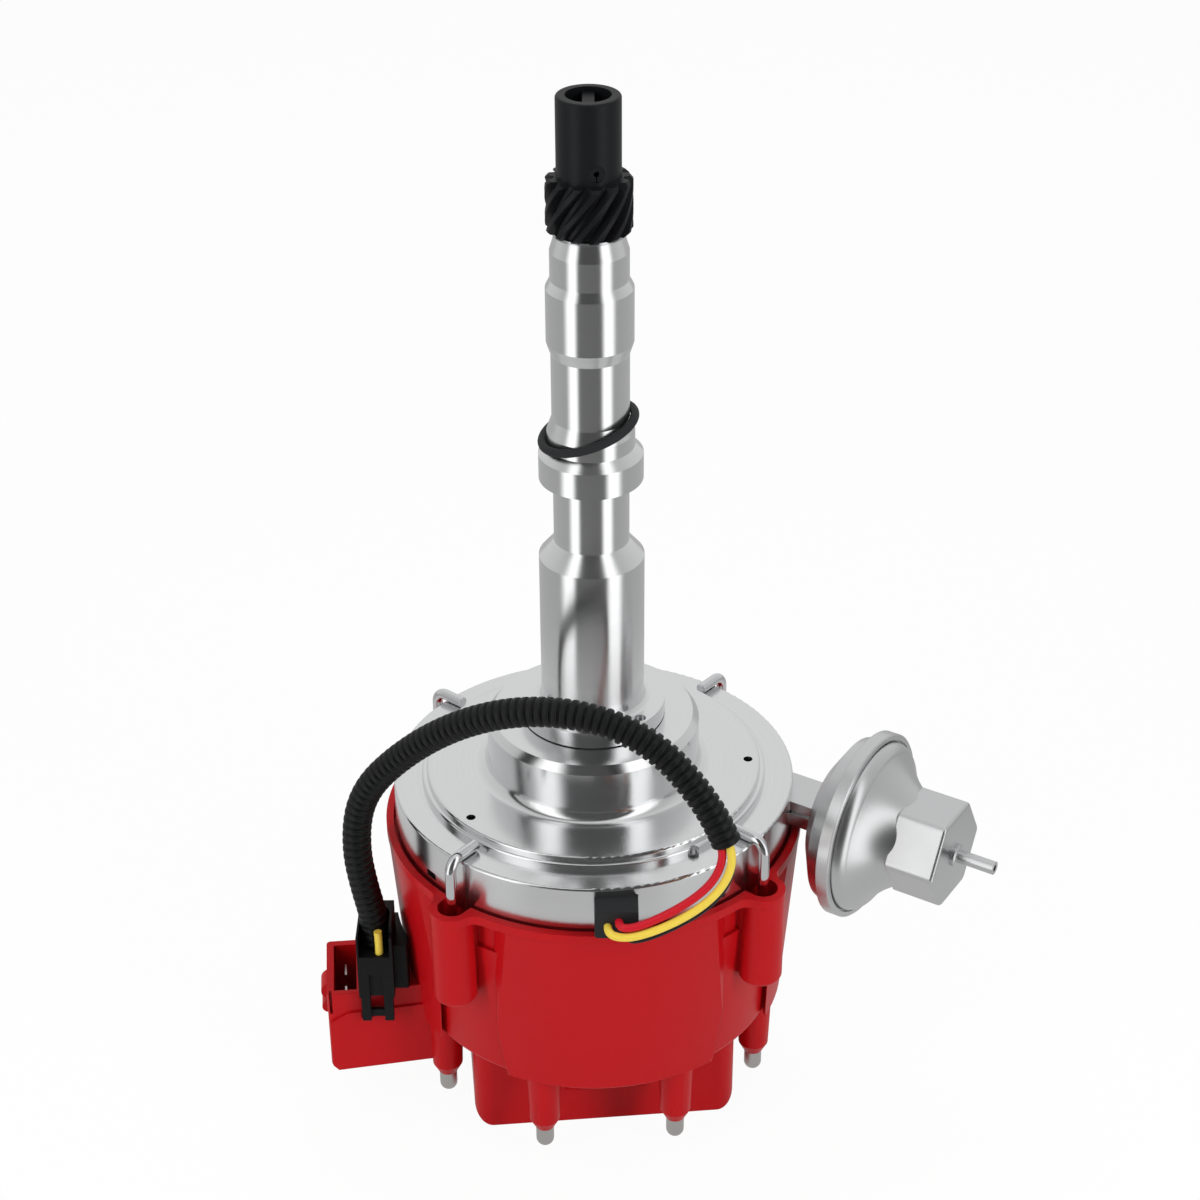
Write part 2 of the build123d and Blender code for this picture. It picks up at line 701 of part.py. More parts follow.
def make_roll_pin():
    """Slit spring pin that holds the gear on the shaft."""
    length = 2 * SLEEVE_R - 0.6
    tube = Cylinder(PIN_R, length) - Cylinder(PIN_BORE_R, length)
    slit = Pos(PIN_R, 0, 0) * Box(2 * PIN_R, PIN_SLIT, length)
    return Rot(0, 0, PIN_HEADING) * Pos(0, 0, pin_height) * Rot(0, 90, 0) * (tube - slit)


def make_gear():
    """Helical drive gear with its long sleeve."""
    twist = degrees(GEAR_WIDTH * tan(radians(GEAR_HELIX)) / (0.5 * (GEAR_TIP_R + GEAR_ROOT_R)))
    slices = []
    for step in range(GEAR_SLICES + 1):
        share = step / GEAR_SLICES
        corners = []
        for tooth in range(GEAR_TEETH):
            for offset, radius in (
                (-0.36, GEAR_ROOT_R), (-0.15, GEAR_TIP_R), (0.15, GEAR_TIP_R), (0.36, GEAR_ROOT_R),
            ):
                angle = radians(twist * share) + 2 * pi * (tooth + offset) / GEAR_TEETH
                height = gear_bottom + GEAR_WIDTH * share
                corners.append((radius * cos(angle), radius * sin(angle), height))
        slices.append(make_face(Polyline(*corners, close=True)))
    toothed_rim = loft(slices)
    blank = turned([
        (0, gear_bottom), (GEAR_TIP_R - 1, gear_bottom), (GEAR_TIP_R + 0.5, gear_bottom + 1.5),
        (GEAR_TIP_R + 0.5, gear_top - 1.5), (GEAR_TIP_R - 1, gear_top), (0, gear_top),
    ])
    sleeve = rod(SLEEVE_R, gear_bottom, sleeve_top)
    sleeve = round_rim(sleeve, SLEEVE_R, sleeve_top, 0.9)
    gear = (toothed_rim & blank) + sleeve
    gear -= rod(SLEEVE_BORE_R, gear_bottom - 1, sleeve_top + 1)
    return gear - roll_pin_bore()


# Pickup and timer core

def make_pickup_plate():
    """Plate that turns on the hub core, with the arm that the vacuum rod pulls."""
    bottom = plate_under
    top = pickup_top - AIR_GAP
    plate = rod(PICKUP_PLATE_R, bottom, top)
    arm = block(0, ARM_R, -PICKUP_ARM_R, PICKUP_ARM_R, bottom, top)
    arm += Pos(ARM_R, 0, 0) * rod(PICKUP_ARM_R, bottom, top)
    plate += Rot(0, 0, arm_heading) * arm
    plate -= rod(PIVOT_R + RUN_GAP, bottom - 1, top + 1)
    pin_end = canister_z - ROD_THICK / 2 - 1.5
    return plate + at_heading(arm_heading, ARM_R) * rod(ARM_PIN_R, pin_end, bottom)


def make_pole_piece():
    """Steel pole plate with one inward tooth for each outlet."""
    plate = rod(PICKUP_R, pole_under, magnet_under)
    plate -= rod(POLE_ROOT_R, pole_under - 1, magnet_under + 1)
    tooth = block(POLE_TIP_R, POLE_ROOT_R + 1, -2, 2, pole_under, magnet_under)
    for step in range(OUTLETS):
        plate += Rot(0, 0, outlet_step * step) * tooth
    return plate


def make_timer_core():
    """Toothed core on a sleeve round the shaft."""
    tooth_top = magnet_under + 1.5
    tooth_end = tooth_top - CORE_TOOTH_HEIGHT
    core = toothed(OUTLETS, CORE_TIP_R, CORE_ROOT_R, 0.13, 0.2, tooth_end, tooth_top)
    core += rod(CORE_SLEEVE_R, base_top, core_top)
    return core - rod(SHAFT_R + RUN_GAP, base_top - 1, core_top + 1)


# Centrifugal advance

def weight_pivot(half):
    """Place of a weight's pivot, on one half or the other."""
    return at_heading(rotor_heading + WEIGHT_START + 180 * half, WEIGHT_PIVOT_R)


def make_weight_base():
    """Base plate with pivot pins for the weights and pillars for the rotor."""
    base = rod(BASE_R, base_under, base_top)
    base &= block(-BASE_R, BASE_R, -BASE_WIDTH / 2, BASE_WIDTH / 2, base_under, base_top)
    base = Rot(0, 0, rotor_heading) * base
    for half in range(2):
        pillar = rod(PILLAR_R, rotor_top, base_under)
        pillar -= rod(SMALL_SCREW_R + PRESS_GAP, rotor_top - 1, base_under)
        base += at_heading(rotor_heading + 180 * half, PILLAR_AT) * pillar
        base += weight_pivot(half) * rod(WEIGHT_PIN_R, weight_under - POST_RISE, base_under)
    return base - rod(SHAFT_R + RUN_GAP, base_under - 1, base_top + 1)


def make_weight(half):
    """Curved flyweight that swings on its pin."""
    body = sector(
        WEIGHT_OUTER_R, WEIGHT_INNER_R, WEIGHT_START, WEIGHT_END, weight_under, weight_top,
    )
    body += at_heading(WEIGHT_START, WEIGHT_PIVOT_R) * rod(WEIGHT_EYE_R, weight_under, weight_top)
    body = Rot(0, 0, rotor_heading + 180 * half) * body
    return body - weight_pivot(half) * rod(WEIGHT_PIN_R + RUN_GAP, weight_under - 1, weight_top + 1)


def make_advance_cam():
    """Oval centre cam pressed on the shaft, with two spring posts."""
    outline = SlotOverall(CAM_LENGTH, CAM_WIDTH)
    cam = Pos(0, 0, weight_under) * extrude(outline, WEIGHT_THICK)
    for side in (-1, 1):
        cam += Pos(side * CAM_POST_AT, 0, 0) * rod(CAM_POST_R, weight_under - POST_RISE, weight_under)
    cam -= rod(SHAFT_R + PRESS_GAP, weight_under - 5, weight_top + 1)
    return Rot(0, 0, rotor_heading) * cam


def make_advance_spring(half):
    """Light tension spring from a cam post to a weight's pin."""
    pin = Vector(
        WEIGHT_PIVOT_R * cos(radians(WEIGHT_START)), WEIGHT_PIVOT_R * sin(radians(WEIGHT_START)), 0,
    )
    post = Vector(CAM_POST_AT, 0, 0)
    along = (pin - post).normalized()
    start = post + along * (CAM_POST_R + 0.4)
    length = (pin - post).length - CAM_POST_R - WEIGHT_PIN_R - 0.8
    height = weight_under - ADVANCE_SPRING_R - ADVANCE_WIRE_R - 0.15
    frame = Plane(origin=(start.X, start.Y, height), z_dir=(along.X, along.Y, 0)).location
    spring = frame * coil_spring(ADVANCE_SPRING_R, ADVANCE_WIRE_R, length, ADVANCE_TURNS)
    return Rot(0, 0, rotor_heading + 180 * half) * spring


# Rotor

def make_rotor():
    """Moulded rotor: capsule base, core and arm under the blade."""
    base = Pos(0, 0, rotor_floor) * extrude(SlotOverall(ROTOR_LENGTH, ROTOR_WIDTH), ROTOR_BASE)
    core = turned([
        (0, rotor_floor), (ROTOR_CORE_R, rotor_floor), (ROTOR_CORE_TOP_R, blade_top), (0, blade_top),
    ])
    half = ROTOR_ARM_WIDTH / 2
    arm = extrude(make_face(Polyline(
        (-ROTOR_CORE_R, -half, rotor_floor), (PILLAR_AT + ROTOR_ARM_FOOT, -half, rotor_floor),
        (ROTOR_ARM_LENGTH, -half, blade_top + ROTOR_ARM_TIP), (ROTOR_ARM_LENGTH, -half, blade_top),
        (-ROTOR_CORE_TOP_R, -half, blade_top), close=True,
    )), ROTOR_ARM_WIDTH, dir=(0, 1, 0))
    rotor = base + core + arm
    for side in (-1, 1):
        screw_hole = rod(SMALL_SCREW_R + PRESS_GAP, rotor_floor - 1, rotor_top + 1)
        head_room = rod(SMALL_SCREW_HEAD_R + 0.4, blade_under - 1, rotor_floor)
        rotor -= Pos(side * PILLAR_AT, 0, 0) * (screw_hole + head_room)
    return Rot(0, 0, rotor_heading) * rotor


def make_rotor_contact():
    """Brass blade with the leaf that meets the carbon button."""
    half = BLADE_WIDTH / 2
    blade = block(-6, BLADE_REACH, -half, half, blade_under, blade_top)
    blade = fillet(blade.edges().filter_by(Axis.Z).sort_by(Axis.X)[-2:], 2)
    leaf = turned([
        (0, leaf_end), (LEAF_R * 0.6, leaf_end), (LEAF_R, blade_under), (0, blade_under),
    ])
    return Rot(0, 0, rotor_heading) * (blade + leaf)


def make_rotor_screws():
    """Two screws that hold the rotor on its pillars."""
    one = Pos(0, 0, rotor_floor) * Rot(180, 0, 0) * screw(
        SMALL_SCREW_R, SMALL_SCREW_HEAD_R, SMALL_SCREW_HEAD, ROTOR_BASE + PILLAR_LENGTH - 2,
    )
    return [at_heading(rotor_heading + 180 * half, PILLAR_AT) * one for half in range(2)]


# Cap

def cap_wall_r(height):
    """Outer radius of the cap's plain wall at a height, with its draft."""
    share = (cap_rim - height) / CAP_HEIGHT
    return CAP_WALL_TOP_R + (CAP_WALL_END_R - CAP_WALL_TOP_R) * share


def make_panels():
    """Four raised panels, each over a pair of outlets, with cut lower corners."""
    top = cap_rim - CAP_RIM_LIP + 0.5
    back = CAP_WALL_END_R - 8
    proud_r = CAP_WALL_END_R + PANEL_PROUD
    slope = tan(radians(PANEL_EDGE_SLOPE))
    half = proud_r * sin(radians(PANEL_HALF_ANGLE)) + slope * (proud_r - back)
    corner = cap_end + PANEL_CORNER_RISE
    cone = turned([
        (back, cap_end), (proud_r - 1.2, cap_end), (proud_r, cap_end + 1.2),
        (CAP_RIM_R - 0.2, top), (back, top),
    ])
    low_half = half - PANEL_CORNER
    face = make_face(Polyline(
        (-half, -back, top + 20), (-half, -back, corner), (-low_half, -back, cap_end),
        (-low_half, -back, cap_end - 20), (low_half, -back, cap_end - 20), (low_half, -back, cap_end),
        (half, -back, corner), (half, -back, top + 20), close=True,
    ))
    panel = cone & extrude(face, CAP_RIM_R - back, dir=(0, -1, 0), taper=PANEL_EDGE_SLOPE)
    return [Rot(0, 0, 90 * step) * panel for step in range(4)]


def make_tower():
    """One outlet tower with its draft and chamfered end."""
    root = cap_end + CAP_EDGE_ROUND + 2
    return turned([
        (0, tower_end), (TOWER_TIP_R, tower_end), (TOWER_R, tower_end + TOWER_CHAMFER),
        (TOWER_BASE_R, root), (0, root),
    ])


def make_rim():
    """Rim of the cap, which flows round the latch lobes."""
    outline = Sketch() + Circle(CAP_RIM_R)
    centres = [at_heading(heading, LOBE_RING_R).position for heading in latch_headings]
    for centre in centres:
        outline += Pos(centre.X, centre.Y) * Circle(LOBE_R + LOBE_LIP)
    corners = []
    for corner in outline.vertices():
        place = Vector(corner.X, corner.Y, 0)
        on_rim = abs(place.length - CAP_RIM_R) < 0.01
        if on_rim and min((place - centre).length for centre in centres) < LOBE_R + 2 * LOBE_LIP:
            corners.append(corner)
    outline = fillet(corners, LOBE_FLOW_R)
    return Pos(0, 0, cap_rim - CAP_RIM_LIP) * extrude(outline, CAP_RIM_LIP, dir=(0, 0, 1))


def make_lobe():
    """Latch lobe on the cap's side, before its pockets are cut."""
    lobe = rod(LOBE_R, lobe_end, cap_rim - CAP_RIM_LIP / 2)
    return round_rim(lobe, LOBE_R, lobe_end, 1.8)


def make_lobe_bores():
    """Upper pocket, open towards the bowl, with the rod bore and spring cup of one latch."""
    pocket = rod(LOBE_POCKET_R, pocket_floor, cap_rim + 1)
    inward = CAP_RIM_BORE_R - LOBE_POCKET_OPEN - LOBE_RING_R
    pocket += block(inward, 0, -LOBE_POCKET_R, LOBE_POCKET_R, pocket_floor, cap_rim + 1)
    guide = rod(LATCH_ROD_R + RUN_GAP, web_under - 1, pocket_floor + 1)
    cup = rod(LOBE_CUP_R, lobe_end - 1, web_under)
    return pocket + guide + cup


def make_lobe_slots(heading):
    """Two recesses under the rim, between a lobe and the panels beside it."""
    lobe_angle = degrees((LOBE_R - 0.5) / LOBE_RING_R)
    top = cap_rim - CAP_RIM_LIP
    floor_r = cap_wall_r(top) - LOBE_SLOT_DEPTH
    bottom = top - LOBE_SLOT_HEIGHT
    slots = []
    for side in (-1, 1):
        near = heading + side * lobe_angle
        far = heading + side * (45 - PANEL_HALF_ANGLE - 1)
        slots.append(sector(CAP_RIM_R + 5, floor_r, min(near, far), max(near, far), bottom, top))
    return slots


def make_connector_block():
    """Connector block with an open pocket and a socket for the harness plug."""
    bottom = block_top - BLOCK_HEIGHT
    outline = make_face(Polyline(
        (BLOCK_LEFT, BLOCK_FRONT, bottom), (BLOCK_RIGHT, BLOCK_FRONT + 3.5, bottom),
        (BLOCK_RIGHT, BLOCK_BACK, bottom), (BLOCK_LEFT, BLOCK_BACK, bottom), close=True,
    ))
    body = extrude(outline, BLOCK_HEIGHT, dir=(0, 0, 1))
    body = fillet(body.edges().filter_by(Axis.Y).group_by(Axis.Z)[0].sort_by(Axis.X)[:1], BLOCK_CORNER)
    body = fillet(body.edges().filter_by(Axis.Z).sort_by(Axis.X)[:2], 1.5)
    apron_top = block_top - APRON_DROP
    apron = extrude(make_face(Polyline(
        (BLOCK_LEFT + BLOCK_CORNER, 0, bottom), (BLOCK_RIGHT, 0, bottom), (BLOCK_RIGHT, 0, apron_top),
        (BLOCK_LEFT + APRON_SLANT, 0, apron_top), (BLOCK_LEFT + 0.5, 0, apron_top - APRON_SLANT / 2),
        (BLOCK_LEFT + 0.5, 0, bottom + BLOCK_CORNER), close=True,
    )), APRON_THICK + 0.6, dir=(0, -1, 0))
    body += Pos(BLOCK_LEFT, BLOCK_FRONT, 0) * Rot(0, 0, 5.06) * Pos(-BLOCK_LEFT, 0.6, 0) * apron
    for drop, size in BARBS:
        barb = Pos(BLOCK_LEFT - BARB_PROUD + size, BLOCK_FRONT / 2, block_top - drop)
        body += barb * Rot(90, 0, 0) * Cylinder(size, BARB_LENGTH)
    return body


def pocket_limits():
    """Limits of the open terminal pocket in x and y."""
    x_low = BLOCK_LEFT + BLOCK_WALL
    return x_low, x_low + POCKET_WIDTH, BLOCK_FRONT + BLOCK_WALL, BLOCK_BACK - BLOCK_WALL


def make_blades():
    """Two flat terminals standing in the open pocket."""
    x_low, x_high, y_low, y_high = pocket_limits()
    floor = block_top - POCKET_DEPTH
    x_mid = (x_low + x_high) / 2
    tab = block(
        -BLADE_TAB_THICK / 2, BLADE_TAB_THICK / 2, -BLADE_TAB_WIDTH / 2, BLADE_TAB_WIDTH / 2,
        floor, floor + BLADE_TAB_HEIGHT,
    )
    quarter = (y_high - y_low) / 4
    places = (y_low + quarter, y_high - quarter)
    return [Rot(0, 0, CAP_TURN) * Pos(x_mid, y_mid, 0) * tab for y_mid in places]


def plug_nose(grow):
    """Part of the plug that goes into its socket, or the socket when grown."""
    return block(
        PLUG_LEFT + 2 - grow, PLUG_RIGHT - 2 + grow,
        PLUG_FRONT + PLUG_NOSE_INSET - grow, PLUG_BACK - 1 + grow,
        block_top - PLUG_NOSE_DEPTH - grow, block_top + 1,
    )


def make_cap():
    """Moulded cap: tapered cup with panels, latch lobes, outlet towers and connectors."""
    lip = cap_rim - CAP_RIM_LIP
    cap = turned([
        (0, cap_end), (CAP_WALL_END_R, cap_end), (cap_wall_r(lip), lip), (cap_wall_r(lip), cap_rim),
        (0, cap_rim),
    ])
    cap = round_rim(cap, CAP_WALL_END_R, cap_end, CAP_EDGE_ROUND)
    for heading in latch_headings:
        for slot in make_lobe_slots(heading):
            cap -= slot
    cap += make_rim()
    for panel in make_panels():
        cap += panel
    for heading in latch_headings:
        cap += at_heading(heading, LOBE_RING_R) * make_lobe()
    tower = make_tower()
    for heading in outlet_headings:
        cap += at_heading(heading, TOWER_RING_R) * tower
    cap += make_connector_block()
    post = rod(COIL_SCREW_R + 3, frame_top, cap_end + 1)
    for x_side in (-1, 1):
        for y_side in (-1, 1):
            cap += Pos(*coil_screw_place(x_side, y_side)) * post
    cap -= turned([
        (0, cap_rim + 1), (CAP_RIM_BORE_R, cap_rim + 1), (CAP_RIM_BORE_R, bowl_end),
        (bowl_in_r, bowl_end), (CAP_WALL_END_R - CAP_WALL, ceiling_in + 3),
        (CAP_WALL_END_R - CAP_WALL - 3, ceiling_in), (0, ceiling_in),
    ])
    boss_top = ceiling_in + BUTTON_BOSS_HEIGHT
    cap += rod(BUTTON_BOSS_R, ceiling_in - 1, boss_top)
    cap -= rod(BUTTON_R + RUN_GAP, cap_end - 1, boss_top + 1)
    sleeve_boss = rod(TERMINAL_R + 1.6, ceiling_in - 1, ceiling_in + 5)
    terminal_bore = rod(TERMINAL_SHANK_R + PRESS_GAP, tower_end - 1, terminal_top + 1)
    for heading in outlet_headings:
        cap += at_heading(heading, TOWER_RING_R) * sleeve_boss
    for heading in outlet_headings:
        cap -= at_heading(heading, TOWER_RING_R) * terminal_bore
    for heading in latch_headings:
        cap -= at_heading(heading, LOBE_RING_R) * make_lobe_bores()
    for x_side in (-1, 1):
        for y_side in (-1, 1):
            place = Pos(*coil_screw_place(x_side, y_side))
            cap -= place * rod(COIL_SCREW_R + PRESS_GAP, frame_top - 1, frame_top + COIL_SCREW_BITE + 1)
        drill = rod(COVER_SCREW_R + PRESS_GAP, cap_end - 1, cap_end + 4)
        cap -= Pos(x_side * cover_screw_at, 0, 0) * drill
    x_low, x_high, y_low, y_high = pocket_limits()
    cap -= block(x_low, x_high, y_low, y_high, block_top - POCKET_DEPTH, block_top + 1)
    cap -= block(
        x_low - 2 * CORNER_SLIT, x_low - CORNER_SLIT, BLOCK_FRONT - 2, y_low,
        block_top - APRON_DROP, block_top + 1,
    )
    cap = Rot(0, 0, CAP_TURN) * cap
    cap -= block(
        PLUG_LEFT, PLUG_RIGHT, PLUG_FRONT - 5, PLUG_FRONT + PLUG_LEG_THICK + 1,
        block_top - NOTCH_DROP, block_top + 1,
    )
    return cap - plug_nose(AIR_GAP)


def make_terminals():
    """Eight metal outlet inserts with rounded tips."""
    one = turned([
        (0, terminal_end), (TERMINAL_R, terminal_end), (TERMINAL_R, tower_end),
        (TERMINAL_SHANK_R, tower_end), (TERMINAL_SHANK_R, terminal_top), (0, terminal_top),
    ])
    one = round_rim(one, TERMINAL_R, terminal_end, TERMINAL_R - 0.2)
    return [at_heading(CAP_TURN + heading, TOWER_RING_R) * one for heading in outlet_headings]


def make_button():
    """Carbon button that rubs on the rotor's leaf."""
    return round_rim(rod(BUTTON_R, button_end, button_tip), BUTTON_R, button_tip, 0.8)


def make_arc_seal():
    """Rubber seal between the cap and the coil, round the button spring."""
    return ring(12, BUTTON_R + 0.6, coil_top, cap_end)


# Latches

def make_latch_rod(heading):
    """Bright rod: hooked foot on the flange, leg through the lobe, slotted head."""
    foot_z = flange_top + LATCH_ROD_R + AIR_GAP
    leg_end = web_under - LATCH_SPRING_LENGTH - AIR_GAP
    inward = LATCH_FOOT_RING_R - LOBE_RING_R
    path = FilletPolyline((0, 0, leg_end), (0, 0, foot_z), (inward, 0, foot_z), radius=LATCH_BEND_R)
    wire = sweep(Plane.XY.offset(leg_end) * Circle(LATCH_ROD_R), path=path)
    head = rod(LATCH_HEAD_R, leg_end - LATCH_HEAD_THICK, leg_end)
    head = round_rim(head, LATCH_HEAD_R, leg_end - LATCH_HEAD_THICK, 0.8)
    slot_low = leg_end - LATCH_HEAD_THICK
    head -= block(-LATCH_HEAD_R, LATCH_HEAD_R, -LATCH_SLOT / 2, LATCH_SLOT / 2, slot_low, slot_low + 1.6)
    return at_heading(CAP_TURN + heading, LOBE_RING_R) * (wire + head)


def make_latch_spring(heading):
    """Spring that keeps the latch's hook down on the flange."""
    spring = Pos(0, 0, web_under - LATCH_SPRING_LENGTH) * coil_spring(
        LATCH_SPRING_R, LATCH_WIRE_R, LATCH_SPRING_LENGTH - 0.1, LATCH_TURNS,
    )
    return at_heading(CAP_TURN + heading, LOBE_RING_R) * spring


# Coil and cover

def coil_screw_place(x_side, y_side):
    """Place of a coil screw, in a corner of the iron frame."""
    inset = CORE_FRAME_RAIL / 2
    return x_side * (CORE_FRAME_LENGTH / 2 - inset), y_side * (CORE_FRAME_WIDTH / 2 - inset), 0


def make_coil_core():
    """Laminated iron frame with its centre leg."""
    half_x = CORE_FRAME_LENGTH / 2
    half_y = CORE_FRAME_WIDTH / 2
    frame = block(-half_x, half_x, -half_y, half_y, frame_under, frame_top)
    frame -= block(
        CORE_FRAME_RAIL - half_x, half_x - CORE_FRAME_RAIL, CORE_FRAME_RAIL - half_y,
        half_y - CORE_FRAME_RAIL, frame_under - 1, frame_top + 1,
    )
    frame += block(-half_x, half_x, -CORE_LEG / 2, CORE_LEG / 2, frame_under, frame_top)
    for x_side in (-1, 1):
        for y_side in (-1, 1):
            place = Pos(*coil_screw_place(x_side, y_side))
            frame -= place * rod(COIL_SCREW_R + PRESS_GAP, frame_under - 1, frame_top + 1)
    return Rot(0, 0, CAP_TURN) * frame


def make_winding():
    """Potted winding round the centre leg of the iron frame."""
    half_x = CORE_FRAME_LENGTH / 2 - CORE_FRAME_RAIL - 0.5
    half_y = CORE_FRAME_WIDTH / 2 - CORE_FRAME_RAIL - 0.5
    body = block(-half_x, half_x, -half_y, half_y, coil_top - WINDING_HEIGHT, coil_top)
    body = fillet(body.edges().filter_by(Axis.Z), 4)
    leg = block(-half_x - 1, half_x + 1, -CORE_LEG / 2, CORE_LEG / 2, frame_under, frame_top)
    return Rot(0, 0, CAP_TURN) * (body - leg)


def make_coil_screws():
    """Four screws that hold the coil's frame on the cap's posts."""
    one = Rot(180, 0, 0) * screw(COIL_SCREW_R, 3.8, 2.4, CORE_FRAME_THICK + COIL_SCREW_BITE)
    screws = []
    for x_side in (-1, 1):
        for y_side in (-1, 1):
            x, y, _ = coil_screw_place(x_side, y_side)
            screws.append(Rot(0, 0, CAP_TURN) * Pos(x, y, frame_under) * one)
    return screws


def make_cover():
    """Coil cover, a moulded box whose flat face the distributor stands on."""
    half_x = cover_length / 2
    half_y = COVER_WIDTH / 2
    plan = extrude(RectangleRounded(cover_length, COVER_WIDTH, COVER_CORNER), COVER_HEIGHT)
    side = block(-half_x, half_x, -half_y, half_y, cover_end, cap_end)
    side = fillet(side.edges().filter_by(Axis.Y).group_by(Axis.Z)[0], COVER_EDGE)
    cover = (Pos(0, 0, cover_end) * plan) & side
    inside = block(
        COVER_WALL - half_x, half_x - COVER_WALL, COVER_WALL - half_y, half_y - COVER_WALL,
        cover_end + COVER_WALL, cap_end + 1,
    )
    inside = fillet(inside.edges().filter_by(Axis.Z), COVER_CORNER - COVER_WALL)
    inside = fillet(inside.edges().filter_by(Axis.Y).group_by(Axis.Z)[0], COVER_EDGE - COVER_WALL)
    cover -= inside
    backing_half = NICHE_HALF_WIDTH + COVER_WALL
    niche_end = cover_end + NICHE_FOOT
    cover += block(
        -backing_half, backing_half, COVER_WALL - half_y - 0.5, COVER_WALL - half_y + NICHE_DEPTH,
        niche_end - COVER_WALL, cap_end,
    )
    niche = make_face(Polyline(
        (0, -half_y - 1, niche_end), (0, -half_y, niche_end), (0, NICHE_DEPTH - half_y, niche_end + 6),
        (0, NICHE_DEPTH - half_y, cap_end + 1), (0, -half_y - 1, cap_end + 1), close=True,
    ))
    cover -= extrude(niche, NICHE_HALF_WIDTH, both=True)
    for side in (-1, 1):
        boss = rod(COVER_BOSS_R, cover_end + 1, cap_end)
        drill = rod(COVER_SCREW_R + PRESS_GAP, cover_end - 1, cap_end + 1)
        drill += rod(COVER_BOSS_R - 0.4, cover_end - 1, cover_end + COVER_SCREW_SINK)
        cover += Pos(side * cover_screw_at, 0, 0) * boss
        cover -= Pos(side * cover_screw_at, 0, 0) * drill
    return Rot(0, 0, CAP_TURN) * cover


def make_cover_screws():
    """Two screws sunk in the cover's flat face."""
    one = Pos(0, 0, cover_end + COVER_SCREW_SINK) * Rot(180, 0, 0) * screw(
        COVER_SCREW_R, COVER_BOSS_R - 0.6, 2.0, COVER_HEIGHT,
    )
    return [Rot(0, 0, CAP_TURN) * Pos(side * cover_screw_at, 0, 0) * one for side in (-1, 1)]


# Harness

def make_plug():
    """Harness plug: base, channel round the conduit's end and two latch legs."""
    base_top = plug_seat + PLUG_BASE_HEIGHT
    plug = block(
        PLUG_BASE_LEFT, PLUG_BASE_RIGHT, PLUG_BASE_FRONT, PLUG_BASE_BACK, plug_seat, base_top,
    )
    plug = fillet(plug.edges().filter_by(Axis.Z), 1.0)
    plug -= rod(cap_wall_r(base_top) + PANEL_PROUD + AIR_GAP, plug_seat - 1, base_top + 1)
    plug += block(
        PLUG_LEFT, PLUG_RIGHT, PLUG_FRONT, PLUG_BACK, plug_seat, plug_floor + PLUG_CHANNEL,
    )
    end_x, end_y, _ = CONDUIT_ROUTE[0]
    plug += block(end_x, PLUG_RIGHT, PLUG_FRONT + 3, PLUG_BACK, plug_floor, plug_floor + PLUG_CHEEK)
    plug += plug_nose(0)
    left_leg = PLUG_LEFT + PLUG_LEG_INSET
    right_leg = PLUG_RIGHT - PLUG_LEG_INSET - PLUG_LEG_WIDTH
    leg_end = plug_seat - PLUG_LEG_DROP
    for x_low in (left_leg, right_leg):
        plug += block(
            x_low, x_low + PLUG_LEG_WIDTH, PLUG_FRONT, PLUG_FRONT + PLUG_LEG_THICK,
            leg_end, plug_seat + 1,
        )
    plug -= block(
        left_leg + PLUG_LEG_WIDTH, right_leg, PLUG_FRONT - 1, PLUG_FRONT + PLUG_LEG_THICK / 2,
        plug_seat - 1, plug_seat + PLUG_LEG_DROP,
    )
    plug += block(
        left_leg + 1, right_leg + 1, PLUG_FRONT + PLUG_LEG_THICK / 2, PLUG_FRONT + PLUG_LEG_THICK,
        leg_end + 1, leg_end + 1 + PLUG_BAR_HEIGHT,
    )
    channel_r = CONDUIT_R + CHANNEL_GAP
    channel_top = plug_floor + PLUG_CHEEK + 1
    mouth = block(end_x - channel_r, end_x + channel_r, PLUG_FRONT - 1, end_y, plug_floor, channel_top)
    return plug - Pos(end_x, end_y, 0) * rod(channel_r, plug_floor, channel_top) - mouth


def make_conduit():
    """Conduit with a mouth for the wires at its far end."""
    conduit = tube_along(CONDUIT_ROUTE, CONDUIT_R, "conduit")
    before = Vector(*CONDUIT_ROUTE[-2])
    end = Vector(*CONDUIT_ROUTE[-1])
    along = (end - before).normalized()
    start = end - along * CONDUIT_MOUTH_DEPTH
    mouth = Plane(origin=(start.X, start.Y, start.Z), z_dir=(along.X, along.Y, along.Z)).location
    return conduit - mouth * rod(CONDUIT_MOUTH_R, 0, CONDUIT_MOUTH_DEPTH + 1)


def make_yellow_wire():
    """Yellow wire, with the stretch that shows beside the plug."""
    x, y, length = YELLOW_TAIL
    tail = Pos(x, y, 0) * rod(WIRE_R, plug_floor, plug_floor + length)
    return [tube_along(YELLOW_ROUTE, WIRE_R, "yellow wire"), tail]


# Vacuum canister

def canister_turned(outline):
    """Solid of revolution on the canister's axis, from radius and distance along it."""
    return canister_frame * turned(outline)


